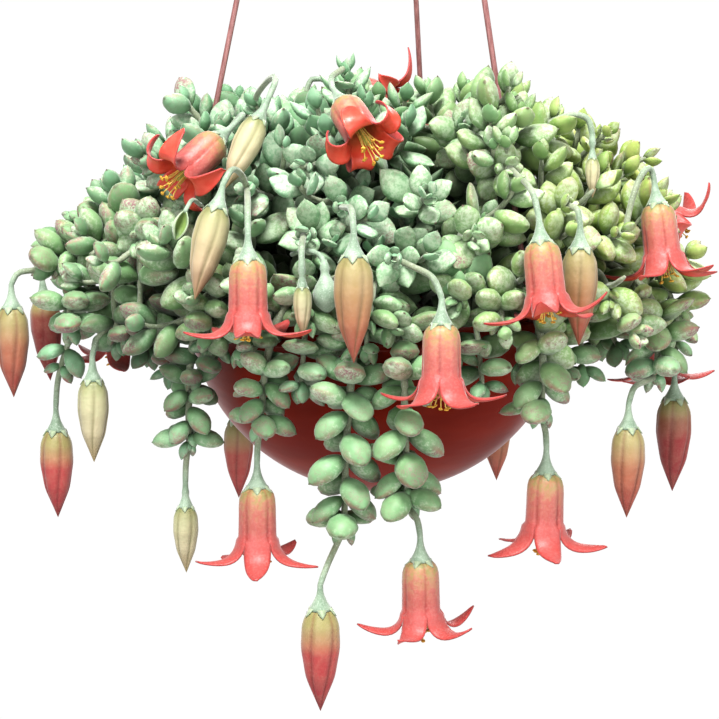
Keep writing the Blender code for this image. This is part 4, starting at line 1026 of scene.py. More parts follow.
def add_stem(piece, run):
    """A round stem with a slight swelling at each joint, up to its last leaves."""
    line = run.line
    at = np.arange(0.0, line.lengths[-1], 3.0)
    points = np.column_stack([np.interp(at, line.lengths, line.points[:, k]) for k in range(3)])
    radii = np.interp(at, line.knots, run.radii) * (1.0 + 0.07 * np.sin(at * 0.9))
    radii[-1] *= 0.6
    add_tube(piece, points, radii, 8, (0.3, 0.0, 0.0, 0.0), slot=1)


def add_stalk(piece, points, row):
    """A flower's or bud's stalk, which flares into its calyx with five small sepals."""
    foot, axis, size = np.array(row[2], float), unit(row[3]), bloom_size(row)
    curve = smooth(points[:-2], 2.0)
    curve = curve[np.linalg.norm(curve - points[-3], axis=1) > 1.0]
    line = np.vstack([curve, [foot - axis * along for along, _ in CALYX_ROWS]])
    thick = [STALK_R * 1.04] * len(curve)
    thick += [radius * (size if radius > 1.5 else 1.0) for _, radius in CALYX_ROWS]
    green = np.concatenate([np.linspace(0.1, 0.6, len(curve)), np.linspace(0.65, 1.0, len(CALYX_ROWS))])
    marks = np.repeat(np.column_stack([green, np.zeros((len(line), 3))]), STALK_RING, axis=0)
    add_tube(piece, line, thick, STALK_RING, marks, 1)
    for k in range(LOBES):
        add_sepal(piece, row, flower_spin(row) + 2 * math.pi * (k + 0.5) / LOBES)


def add_sepal(piece, row, angle):
    """A small pointed sepal that lies on the base of the bell."""
    foot, size = np.array(row[2], float), bloom_size(row)
    axis, across, other = flower_axes(row[3])
    out = swing(across, other, angle)
    aside = np.cross(axis, out)
    points = []
    for bow, sink, narrow in ((0.25, 0.0, 1.0), (0.0, 0.4, 0.9)):
        for along, radius, half in BUD_SEPAL if row in BUDS else BELL_SEPAL:
            for sign in (-1, 0, 1):
                reach = radius + bow * (1 - abs(sign)) - sink
                points.append(foot + size * (axis * along + out * reach + aside * sign * half * narrow))
    faces = []
    for a in (0, 3, 6):
        for k in (a, a + 1):
            faces.append((k, k + 1, k + 4, k + 3))
            faces.append((k + 12, k + 15, k + 16, k + 13))
        faces.append((a, a + 3, a + 15, a + 12))
        faces.append((a + 2, a + 14, a + 17, a + 5))
    faces += [(9, 10, 22, 21), (10, 11, 23, 22), (1, 0, 12, 13), (2, 1, 13, 14)]
    piece.add(points, faces, (1.0, 1.0, 0.0, 0.0), slot=1)


def blooms_in_sight():
    """Balls over the blooms and calyces that stay in sight."""
    balls = []
    for row in IN_SIGHT:
        foot, axis = np.array(row[2], float), unit(row[3])
        balls += [*bloom_balls(row), (foot - axis * 1.0, 5.0), (foot - axis * 6.0, 2.0)]
    return np.array([ball[0] for ball in balls]), np.array([ball[1] for ball in balls])


def dome_tips(count, scale, seed):
    """Places over the foliage's outline, evenly spread, with the way that faces out of it."""
    draw = random.Random(seed)
    turn = math.pi * (3.0 - math.sqrt(5.0))
    tips = []
    for k in range(count):
        z = 1.0 - DOME_SPAN * (k + 0.5) / count
        flat = math.sqrt(max(0.0, 1.0 - z * z))
        angle = k * turn + seed
        way = np.array([flat * math.cos(angle), flat * math.sin(angle), z])
        size = np.array([DOME[0], DOME[1], DOME[2] if z > 0 else DOME_UNDER])
        reach = (np.abs(way / size) ** DOME_POWER).sum() ** (-1.0 / DOME_POWER)
        spot = way * reach * scale * draw.uniform(0.95, 1.03)
        if z < 0.05 and math.hypot(spot[0], spot[1]) < 92.0:
            continue
        out = unit(np.sign(spot) * np.abs(spot / size) ** (DOME_POWER - 1) / size)
        tips.append((spot, out))
    return tips


def fill_lines(runs, tips, seed):
    """Short side shoots that reach the given places from the nearest stems."""
    draw = random.Random(seed)
    spots, owners = [], []
    for number, run in enumerate(runs):
        if run.pairs:
            keep = run.line.points[run.line.points[:, 2] > 2.0]
            spots.append(keep)
            owners += [number] * len(keep)
    spots = np.vstack(spots)
    lines = []
    for tip, out in tips:
        tip = tip + np.array([draw.uniform(-5, 5), draw.uniform(-5, 5), draw.uniform(-4, 4)])
        near = int(np.argmin(np.linalg.norm(spots - (tip - out * 24.0), axis=1)))
        start = spots[near]
        reach = np.linalg.norm(tip - start)
        if SHORTEST_SHOOT <= reach <= LONGEST_SHOOT:
            lean = unit(out + np.array([draw.uniform(-0.35, 0.35), draw.uniform(-0.35, 0.35), 0.45]))
            second = tip - lean * min(16.0, reach * 0.5)
            lines.append((owners[near], bezier(start, start + (tip - start) * 0.3, second, tip, 9)))
    return lines


def youth(pair):
    """How young a pair of leaves is, from 1 at a shoot's tip to 0."""
    return max(0.0, 1.0 - 0.45 * pair)


def grow(run, number, crowd, back, pair):
    """Opposite pairs all along a run, from a place behind its tip back, wherever there is room."""
    draw = random.Random(7000 + number)
    turn = draw.uniform(0.0, math.pi)
    at = run.line.lengths[-1] - back
    leaves = []
    while at > 7.0 and len(leaves) < MOST_LEAVES:
        step = min(pair, len(PAIR_GAPS) - 1)
        frame = run.line.at(at)
        if frame[0][2] < SOIL_TOP + 6.0 and math.hypot(frame[0][0], frame[0][1]) < BOWL_R:
            break
        for half in (0, 1):
            size = run.leaf * PAIR_SIZES[step] * draw.uniform(0.9, 1.08)
            tilt = math.radians(PAIR_TILTS[step] + draw.uniform(-7.0, 9.0))
            for scale, degrees in GROW_TRIES:
                angle = turn + (pair + 2 * half) * math.pi / 2 + math.radians(degrees)
                leaf = side_leaf(frame, angle, tilt, 0.8, size * scale, lift=True)
                centres, radii = leaf_balls(leaf)
                if crowd.room(centres, radii, PRESS):
                    crowd.add(centres, radii)
                    leaves.append((leaf, youth(pair)))
                    break
        at -= PAIR_GAPS[step] * run.leaf / 15.0
        pair += 1
    return leaves


def centre_leaves(run, number, crowd):
    """The few tiny upright leaves that close a shoot's tip."""
    draw = random.Random(9000 + number)
    spot, tangent, normal, other = run.line.at(run.line.lengths[-1])
    leaves = []
    spin = draw.uniform(0.0, math.pi)
    for pair, (share, tilt) in enumerate(((0.34, 10.0), (0.46, 20.0))):
        frame = (spot - tangent * (2.0 + 1.5 * pair), tangent, normal, other)
        for half in (0, 1):
            angle = spin + (pair + 2 * half) * math.pi / 2
            leaf = side_leaf(frame, angle, math.radians(tilt), 0.7, run.leaf * share)
            if crowd.room(*leaf_balls(leaf), PRESS_CENTRE):
                leaves.append((leaf, 1.0))
    return leaves


def between(run, rows, number, crowd):
    """More leaves round a run's own pairs: their bases may crowd, their outer halves stay apart."""
    draw = random.Random(8000 + number)
    leaves = []
    for step, (before, after) in enumerate(zip(rows, rows[1:] + [[rows[-1][0] - 8.0]])):
        frame = run.line.at(0.5 * (before[0] + after[0]))
        for fifth in range(5):
            tilt = math.radians(PAIR_TILTS[min(step, len(PAIR_TILTS) - 1)] + draw.uniform(0.0, 25.0))
            angle = before[1] + (step + 0.5) * math.pi / 2 + fifth * 2 * math.pi / 5 + draw.uniform(-0.3, 0.3)
            for scale, shift in BETWEEN_TRIES:
                leaf = side_leaf(frame, angle + shift, tilt, 0.7, run.leaf * scale, lift=True)
                centres, radii = leaf_balls(leaf)
                if crowd.room(centres[1:], radii[1:], PRESS_BETWEEN):
                    crowd.add(centres, radii)
                    leaves.append((leaf, 0.0))
                    break
    return leaves


def skirt_lines(runs):
    """Shoots that lean out over the bowl's rim all round and hide it."""
    draw = random.Random(77)
    leafy = [number for number, run in enumerate(runs) if run.pairs]
    lines = []
    for k in range(SKIRT):
        way = level_way(2 * math.pi * (k + draw.uniform(-0.3, 0.3)) / SKIRT)
        low = draw.uniform(-25.0, -7.0)
        reach = BOWL_R + BAND_OUT + draw.uniform(11.0, 19.0)
        spots = ((58.0, 6.0), (76.0, 12.0), (91.0, 6.0), (reach, low))
        curve = smooth([way * radius + UP * height for radius, height in spots], 5.0)
        gaps = [np.linalg.norm(runs[number].line.points - curve[0], axis=1).min() for number in leafy]
        lines.append((leafy[int(np.argmin(gaps))], curve))
    return lines


def leaf_size(spot):
    """The length of grown leaves at a place on the plant."""
    x, _, z = spot
    grown = 18.4 + 0.9 * step_between(10.0, -8.0, z) + 2.0 * step_between(-50.0, -105.0, x)
    return grown + 0.8 * step_between(40.0, 90.0, x) - 0.8 * step_between(20.0, 70.0, z)


def own_leaves(rows):
    """The leaves of a run's pairs, each with its pair's number from the tip."""
    return [(leaf, number) for number, row in enumerate(rows) for leaf in row[2:] if leaf]


def side_shoots(runs, crowd):
    """The short shoots that hide the rim, stand before the strands and fill the dome."""
    lines = skirt_lines(runs)
    lines += fill_lines(runs, [(np.array(tip), unit(COVER_WAY)) for tip in COVER_TIPS], 3)
    for scale, count, seed in ((1.0, DOME_TIPS, 1), (INNER_SCALE, INNER_TIPS, 2)):
        lines += fill_lines(runs, dome_tips(count, scale, seed), seed)
    shoots = []
    for owner, curve in lines:
        if not crowd.blocks(curve, 2.0):
            radii = np.linspace(1.35, 1.0, len(curve))
            shoots.append(Run(runs[owner].node, curve, radii, SHOOT_PAIRS, leaf_size(curve[-1])))
            shoots[-1].line = Line(curve)
    return shoots


def more_leaves(runs, pairs, shoots, crowd):
    """By node, the leaves that only the looks have, placed one after the other where there is room."""
    grown = {run.node: [] for run in runs}
    for number, (run, rows) in enumerate(zip(runs, pairs)):
        if run.pairs:
            grown[run.node] += centre_leaves(run, number, crowd)
            grown[run.node] += between(run, rows, number, crowd) if rows else []
    for number, run in enumerate(shoots, 100):
        grown[run.node] += grow(run, number, crowd, 2.0, 0)
        grown[run.node] += centre_leaves(run, number, crowd)
    for number, (run, rows) in enumerate(zip(runs, pairs), 500):
        if run.pairs:
            used = run.line.lengths[-1] - rows[-1][0] + 7.0 if rows else 2.0
            grown[run.node] += grow(run, number, crowd, used, run.pairs)
    return grown


def make_foliage(runs, pairs, crowd):
    """Every leafy node's stems, leaves, stalks and calyces, with the small shoots that fill the dome."""
    shoots = side_shoots(runs, crowd)
    grown = more_leaves(runs, pairs, shoots, crowd)
    materials = [leaf_material(), stalk_material()]
    for name in sorted(grown):
        piece = Piece()
        draw = random.Random(name)
        for run, rows in zip(runs, pairs):
            if run.node == name and run.pairs:
                add_stem(piece, run)
                for leaf, number in own_leaves(rows):
                    add_leaf(piece, leaf, draw, youth(number))
        for run, row in zip(runs[len(SHOOTS):], FLOWERS + BUDS):
            if run.node == name:
                add_stalk(piece, run.points, row)
                add_stalk_leaves(piece, run.points, draw)
        if name == BEHIND[1]:
            add_stalk(piece, BEHIND_STALK, BEHIND)
        if name == BARE_NODE:
            add_front_details(piece, draw)
        for run in shoots:
            if run.node == name:
                add_stem(piece, run)
        for leaf, young in grown[name]:
            add_leaf(piece, leaf, draw, young)
        piece.make(name.replace("stems", "foliage"), materials, (name,))


def add_stalk_leaves(piece, points, draw):
    """A pair of small pale leaves on a long hanging stalk."""
    curve = smooth(points[:-2], 2.0)
    if curve[0][2] - curve[-1][2] < 22.0:
        return
    for share, length in ((0.25, 13.0), (0.5, 9.0)):
        place = int(share * (len(curve) - 1))
        spot = curve[place]
        tangent = unit(curve[place + 1] - spot)
        normal = unit(np.cross(tangent, (0.3, 1.0, 0.1)))
        for sign in (-1.0, 1.0):
            way = unit(tangent * 0.75 + normal * sign + np.array([0.0, -0.25, 0.0]))
            leaf = (spot, way, unit(np.cross(tangent, way)), length * draw.uniform(0.85, 1.15))
            add_leaf(piece, leaf, draw, 0.6)


def add_front_details(piece, draw):
    """The bare calyx, the opened pod and the young leaves beside them."""
    add_bare_calyx(piece)
    add_pod(piece)
    for spot, way, side, length in LONG_LEAVES:
        add_leaf(piece, (np.array(spot), unit(way), unit(side), length), draw, 1.0)


def add_bare_calyx(piece):
    """The pear-shaped calyx that is left where a bell has dropped, on its short stalk."""
    add_tube(piece, smooth(BARE_STALK, 2.0), 1.0, 10, (0.8, 0.0, 0.0, 0.0), 1)
    line = [np.array(BARE_STALK[-1]) + unit(BARE_AXIS) * along for along, _ in BARE_ROWS]
    add_tube(piece, line, [radius for _, radius in BARE_ROWS], 20, (0.9, 0.0, 0.0, 0.0), 1)


def add_pod(piece):
    """A small pale pod that has opened along one side and shows its dark inside."""
    root, top, axis = np.array(POD_ROOT), np.array(POD_TOP), unit(POD_AXIS)
    across = unit(np.cross(axis, (0.2, -1.0, 0.1)))
    front = np.cross(across, axis)
    points, marks = [], []
    rows, arc = 14, 12
    for row in range(rows):
        t = row / (rows - 1)
        wide = POD_R * math.sin(math.pi * (0.04 + 0.93 * t)) ** 0.75
        for skin, radius in ((0.0, wide), (1.0, max(wide - POD_SKIN, 0.05))):
            for k in range(arc) if skin == 0.0 else range(arc - 1, -1, -1):
                turn = math.radians(55.0 + 250.0 * k / (arc - 1))
                points.append(top + axis * t * POD_LENGTH + radius * swing(front, across, turn))
                marks.append((0.9, 1.0 - skin, skin, 0.0))
    piece.add(points, closed_faces(rows, 2 * arc), marks, slot=1)
    line = smooth([root, (root + top) / 2 + np.array([0.0, -2.0, 3.0]), top + axis * 0.4], 2.0)
    add_tube(piece, line, 0.85, 8, (0.8, 0.0, 0.0, 0.0), 1)


def bell_point(row, angle, radius, along):
    """A point of a bloom from its angle, radius and distance along the axis."""
    axis, across, other = flower_axes(row[3])
    return np.array(row[2], float) + axis * along + swing(across, other, angle) * radius


def tube_rows(row, draw):
    """The points and marks of a bell's ribbed tube."""
    points, marks = [], []
    for along, radius in BELL_ROWS:
        for k in range(BELL_SIDES):
            share = (k * LOBES / BELL_SIDES) % 1.0
            groove = abs(2.0 * share - 1.0) ** 10
            rib = math.exp(-((share - 0.5) / 0.10) ** 2)
            depth = 0.30 + 0.5 * step_between(5.0, 16.0, along)
            ring = radius - PETAL_THICK / 2 - depth * groove + 0.18 * rib * step_between(1.0, 5.0, along)
            points.append(bell_point(row, flower_spin(row) + 2 * math.pi * k / BELL_SIDES, ring, along))
            marks.append((along / BELL_LENGTH, abs(2 * share - 1) ** 3, groove, draw.random()))
    return points, marks


def make_bell(row, materials):
    """An open bell: a ribbed tube that parts into five channelled lobes, one skin given its thickness."""
    draw = random.Random(row[0] + " looks")
    tube, tube_marks = tube_rows(row, draw)
    points, marks = [bell_point(row, 0.0, 0.0, BELL_ROWS[0][0]), *tube], [PLAIN, *tube_marks]
    faces = [(0, 1 + (k + 1) % BELL_SIDES, 1 + k) for k in range(BELL_SIDES)]
    faces += ring_faces(len(BELL_ROWS), BELL_SIDES, 1)
    mouth = 1 + (len(BELL_ROWS) - 1) * BELL_SIDES
    for lobe, curl in enumerate(lobe_curls(row)):
        middle = flower_spin(row) + 2 * math.pi * (lobe + 0.5) / LOBES
        path = petal_line(curl)
        ring = [mouth + (lobe * LOBE_ACROSS + k) % BELL_SIDES for k in range(LOBE_ACROSS + 1)]
        for spots, t in lobe_rows(row, middle, path, draw):
            new = list(range(len(points), len(points) + len(spots)))
            points += spots
            for k in range(LOBE_ACROSS + 1):
                edge = abs(2.0 * k / LOBE_ACROSS - 1.0)
                marks.append(((TUBE_H + t * LOBE_LENGTH) / BELL_LENGTH, edge ** 3, 0.0, draw.random()))
            faces += [(a, b, d, c) for a, b, c, d in zip(ring, ring[1:], new, new[1:])]
            ring = new
        faces += fan(ring, len(points))
        radius, along, _ = path[-1]
        points.append(bell_point(row, middle, radius, along))
        marks.append((1.0, 0.3, 0.0, 0.5))
    piece = Piece()
    piece.add(points, faces, marks)
    node = () if row is BEHIND else (row[0],)
    bell = piece.make(row[0].replace("flower", "bell"), materials, node)
    skin = bell.modifiers.new("skin", "SOLIDIFY")
    skin.thickness = PETAL_THICK / 1000.0
    skin.offset = 0.0
    skin.material_offset = 1
    skin.material_offset_rim = 0


def petal_line(curl, fine=60):
    """A lobe's centre line: nearly straight past the mouth, then bent outwards."""
    shares = [(k + 0.5) / fine for k in range(fine)]
    turns = [0.0] + [0.55 * step_between(0.06, 0.62, share) + 0.45 * share for share in shares]
    headings = [math.radians(PETAL_START + (PETAL_SWEEP + curl) * turn) for turn in turns]
    return lobe_path(MOUTH_R - PETAL_THICK / 2, headings, LOBE_ROWS)


def lobe_rows(row, middle, path, draw):
    """Rows of points across a lobe, from just past the mouth to near the tip, each with its place."""
    axis, across, other = flower_axes(row[3])
    out = swing(across, other, middle)
    aside = np.cross(axis, out)
    twist, sway = draw.uniform(-0.35, 0.35), draw.uniform(-1.2, 1.2)
    rows = []
    for number in range(1, LOBE_ROWS):
        t = number / LOBE_ROWS
        radius, along, heading = path[number]
        centre = bell_point(row, middle, radius, along) + aside * sway * t * t
        outward = swing(out, -axis, heading)
        across = swing(aside, outward, twist * t)
        raised = swing(outward, -aside, twist * t)
        half = PETAL_HALF * (1.0 - t ** 2.3) ** 0.9 * (1.0 + 0.3 * t * (1.0 - t)) + 0.35
        channel = 1.15 * (1.0 - t) + 0.9 * t
        sides = [2.0 * k / LOBE_ACROSS - 1.0 for k in range(LOBE_ACROSS + 1)]
        rows.append(([centre + across * s * half + raised * (channel * (0.45 - s * s) * (half / 4.2))
                      for s in sides], t))
    return rows


def make_stamens(row, material):
    """Ten filaments with golden anthers, and the green styles in their middle."""
    draw = random.Random(row[0] + " stamens")
    axis, across, other = flower_axes(row[3])
    piece = Piece()
    for k in range(10):
        angle = flower_spin(row) + 2 * math.pi * (k + draw.uniform(-0.2, 0.2)) / 10
        end = draw.uniform(26.0, 31.0)
        wide = draw.uniform(2.6, 4.6)
        spots = ((1.2, 5.0), (1.5, 12.0), (1.9, 19.0), (0.7 * wide, end - 3.0), (wide, end))
        line = [bell_point(row, angle, radius, along) for radius, along in spots]
        add_tube(piece, smooth(line, 2.2), 0.24, 6, (0.2, 0.0, 0.0, 0.0))
        way = unit(swing(across, other, angle) + axis * draw.uniform(-0.4, 0.6))
        add_anther(piece, line[-1], way, axis, draw)
    for k in range(5):
        angle = 2 * math.pi * k / 5 + 0.3
        spots = ((0.5, 4.6), (0.5, 16.0), (1.1, 24.0))
        line = smooth([bell_point(row, angle, radius, along) for radius, along in spots], 3.0)
        add_tube(piece, line, np.linspace(0.5, 0.22, len(line)), 6, (0.0, 1.0, 0.0, 0.0))
    node = row[0].replace("flower", "stamens")
    piece.make(row[0].replace("flower", "tuft"), [material], (node,) if row[5] else ())


def add_anther(piece, spot, way, axis, draw):
    """A small two-lobed anther."""
    rings, sides = 5, 8
    side = unit(np.cross(way, axis))
    up = np.cross(way, side)
    points = []
    for ring in range(rings + 1):
        t = ring / rings
        wide = 0.78 * math.sin(math.pi * (0.08 + 0.84 * t)) ** 0.7
        for k in range(sides):
            angle = 2 * math.pi * k / sides
            pinch = 1.0 - 0.25 * abs(math.sin(angle)) ** 4
            points.append(spot + way * (t - 0.5) * 2.3 + side * wide * math.cos(angle) * 1.1
                          + up * wide * math.sin(angle) * pinch * 0.8)
    piece.add(points, closed_faces(rings + 1, sides), (1.0, 0.0, draw.random(), 0.0))


def make_bud(row, material):
    """A closed bud: five folded lobes that meet in a twisted point."""
    name, size, ripe = row[0], row[4], RIPE.get(row[0], 0.0)
    tall = BUD_H * size
    points, marks = [], []
    for step in range(BUD_STEPS):
        t = 0.008 + 0.985 * (step / (BUD_STEPS - 1)) ** 1.05
        radius = bud_profile(t) * BUD_R * size
        for k in range(BUD_SIDES):
            share = (k * LOBES / BUD_SIDES) % 1.0
            seam = math.exp(-(min(share, 1 - share) / 0.09) ** 2)
            keel = math.exp(-((share - 0.5) / 0.13) ** 2)
            ring = radius * (1.0 - (0.05 + 0.16 * t) * seam + 0.02 * keel)
            angle = flower_spin(row) + 2 * math.pi * k / BUD_SIDES + 0.5 * t * t
            points.append(bell_point(row, angle, ring, t * tall))
            marks.append((t, seam, ripe, keel))
    points += [bell_point(row, 0.0, 0.0, tall), bell_point(row, 0.0, 0.0, 0.3)]
    marks += [(1.0, 0.0, ripe, 0.0), (0.0, 0.0, ripe, 0.0)]
    first, last = list(range(BUD_SIDES)), list(range(len(points) - 2 - BUD_SIDES, len(points) - 2))
    faces = ring_faces(BUD_STEPS, BUD_SIDES) + fan(last + last[:1], len(points) - 2)
    faces += [(b, a, tip) for a, b, tip in fan(first + first[:1], len(points) - 1)]
    piece = Piece()
    piece.add(points, faces, marks)
    piece.make("spindle_" + name[4:], [material], (name,) if row[5] else ())


def bud_profile(t):
    """The bud's radius as a share of its greatest, smooth between the solid's rings."""
    before, here, after = np.interp((max(t - 0.05, 0.0), t, min(t + 0.05, 1.0)), *zip(*BUD_ROWS))
    return here if t > 0.9 or t < 0.05 else 0.5 * here + 0.25 * (before + after)


def add_turned(piece, outline, sides):
    """A solid of revolution about the rim's axis, from rows of radius and height."""
    piece.add(round_points(outline, sides), closed_faces(len(outline), sides))


def half_ball(radius, steps, lowest, highest):
    """Rows of radius and height on a half ball."""
    start, end = math.asin(lowest / radius), math.asin(highest / radius)
    angles = [start + (end - start) * k / steps for k in range(steps + 1)]
    return [(radius * math.cos(a), radius * math.sin(a)) for a in angles]


def make_pot(material):
    """The bowl with a rounded rim band, a fine step under it, and three lugs."""
    foot_z = -math.sqrt(BOWL_R ** 2 - FOOT_R ** 2)
    inside = BOWL_R - BOWL_WALL
    band = BOWL_R + BAND_OUT
    outline = [(FOOT_R - 3.0, foot_z), (FOOT_R - 0.6, foot_z + 0.05)]
    outline += half_ball(BOWL_R, 30, foot_z + 0.4, -BAND_H - 1.6)
    outline += [(BOWL_R - 0.3, -BAND_H - 1.0), (BOWL_R - 0.1, -BAND_H - 0.4), (BOWL_R + 0.5, -BAND_H),
                (band - 0.5, -BAND_H), (band - 0.1, -BAND_H + 0.3), (band, -BAND_H + 0.9), (band, -7.2),
                (band - 0.35, -6.9), (band - 0.35, -6.5), (band, -6.2), (band, -1.6), (band - 0.2, -0.8),
                (band - 0.7, -0.2), (band - 1.3, 0.0), (inside + 1.3, 0.0), (inside + 0.5, -0.3),
                (inside + 0.1, -1.2)]
    outline += half_ball(inside, 12, foot_z + BOWL_WALL, -1.8)[::-1]
    piece = Piece()
    add_turned(piece, outline, 96)
    for angle in STRAND_ANGLES:
        add_lug(piece, level_way(math.radians(angle)))
    piece.make("pot", [material], ("bowl",))


def add_lug(piece, out):
    """A round eye with a hole for a strand, on a short neck."""
    hole, sides = STRAND_R + LUG_FIT, 28
    half = ((LUG_R - 0.7, 0.0), (LUG_R - 0.2, 0.3), (LUG_R, 0.9))
    rows = [(hole, LUG_BOTTOM + 0.3), (hole + 0.3, LUG_BOTTOM)]
    rows += [(radius, LUG_BOTTOM + step) for radius, step in half]
    rows += [(radius, LUG_TOP - step) for radius, step in half[::-1]]
    rows += [(hole + 0.3, LUG_TOP), (hole, LUG_TOP - 0.3)]
    last = (len(rows) - 1) * sides
    faces = ring_faces(len(rows), sides)
    faces += [(last + k, last + (k + 1) % sides, (k + 1) % sides, k) for k in range(sides)]
    piece.add(round_points(rows, sides, out * LUG_AT), faces)
    middle = UP * ((LUG_TOP + LUG_BOTTOM) / 2)
    line = [out * (BOWL_R + 0.2) + middle, out * (LUG_AT - LUG_R + 1.2) + middle]
    add_tube(piece, line, LUG_NECK_R * 0.7, 12)


def make_earth(material):
    """The soil: a crumbled top that fills the bowl, with a rounded underside."""
    radius = (BOWL_R - BOWL_WALL) * math.cos(math.pi / 10) - FIT
    draw = random.Random(5)
    rings, sides = 26, 110
    bumps = [(draw.uniform(-70, 70), draw.uniform(-70, 70), draw.uniform(1.2, 3.4)) for _ in range(420)]
    bumps = np.array(bumps)
    top_radius = math.sqrt(radius ** 2 - SOIL_TOP ** 2)
    points = [(0.0, 0.0, SOIL_TOP - 0.6)]
    for ring in range(1, rings + 1):
        for x, y, _ in round_points([(top_radius * ring / rings, 0.0)], sides):
            close = np.hypot(bumps[:, 0] - x, bumps[:, 1] - y) / bumps[:, 2]
            crumb = np.maximum(0.0, 1.0 - close ** 2).max() * 1.3
            points.append((x, y, SOIL_TOP - 1.4 + crumb if ring < rings else SOIL_TOP - 1.2))
    under = [(math.sqrt(radius ** 2 - height ** 2), height)
             for height in (-16.0, -26.0, -38.0, -50.0, -60.0, -radius * 0.96)]
    points += round_points(under, sides)
    faces = [(0, 1 + k, 1 + (k + 1) % sides) for k in range(sides)]
    faces += [face[::-1] for face in ring_faces(rings + len(under), sides, 1)]
    faces.append(tuple(range(len(points) - sides, len(points)))[::-1])
    piece = Piece()
    piece.add(points, faces)
    piece.make("earth", [material], ("soil",))


def make_strands(material):
    """The three strands, each with its button under the lug."""
    for number, angle in enumerate(STRAND_ANGLES, 1):
        line = strand_line(angle)
        button = ((BUTTON_H, BUTTON_R - 0.7), (BUTTON_H - 0.25, BUTTON_R - 0.15), (BUTTON_H - 0.9, BUTTON_R),
                  (0.9, BUTTON_R), (0.35, BUTTON_R - 0.3), (0.05, STRAND_R + 0.4))
        rise = smooth(line, 6.0)
        points = np.vstack([[line[0] - UP * drop for drop, _ in button], rise])
        piece = Piece()
        add_tube(piece, points, [radius for _, radius in button] + [STRAND_R] * len(rise), 14)
        piece.make(f"cord_{number}", [material], (f"strand_{number}",))


def make_hook(material):
    """The hub that takes the strands, and the open hook above it."""
    piece = Piece()
    low, top = HUB_TOP_Z - HUB_H - RIM_Z, HUB_TOP_Z - RIM_Z
    add_turned(piece, [(HUB_R - 1.0, low), (HUB_R - 0.3, low + 0.3), (HUB_R, low + 1.0), (HUB_R, top - 3.2),
                       (HUB_R - 0.5, top - 2.2), (HUB_R - 3.0, top - 0.6), (HUB_R - 4.5, top)], 40)
    spots = [UP * (HUB_TOP_Z + rise) for rise in (-3.0, 3.0, 8.0)]
    for degrees in range(HOOK_START, HOOK_END, HOOK_TURN):
        angle = math.radians(degrees)
        spots.append((HOOK_BEND_R * math.cos(angle), 0.0, HOOK_CENTRE_Z + HOOK_BEND_R * math.sin(angle)))
    wire = smooth(spots, 1.6) - LIFT
    radii = [HOOK_WIRE_R] * (len(wire) - 2) + [HOOK_WIRE_R * 0.92, HOOK_WIRE_R * 0.6]
    add_tube(piece, wire, radii, 16)
    piece.make("hanger_hook", [material], ("hook",))


class Nodes:
    """A tree of shader nodes, added one by one."""

    def __init__(self, tree):
        self.tree = tree

    def put(self, socket, value):
        """Links an output to a socket, or sets the socket's number, list or colour, which is a tuple."""
        if isinstance(value, bpy.types.NodeSocket):
            self.tree.links.new(value, socket)
        else:
            socket.default_value = (*value, 1.0) if isinstance(value, tuple) else value

    def node(self, kind, inputs=None, **settings):
        """A new node with its settings and what goes into it."""
        made = self.tree.nodes.new(kind)
        for name, value in settings.items():
            setattr(made, name, value)
        for name, value in (inputs or {}).items():
            self.put(made.inputs[name], value)
        return made

    def ramp(self, value, stops):
        """A colour ramp; its first two stops take the places of the two that it starts with."""
        made = self.node("ShaderNodeValToRGB", {"Fac": value})
        line = made.color_ramp.elements
        for number, (place, colour) in enumerate(stops):
            stop = line[number] if number < 2 else line.new(place)
            stop.position = place
            stop.color = (*colour, 1.0)
        return made.outputs["Color"]


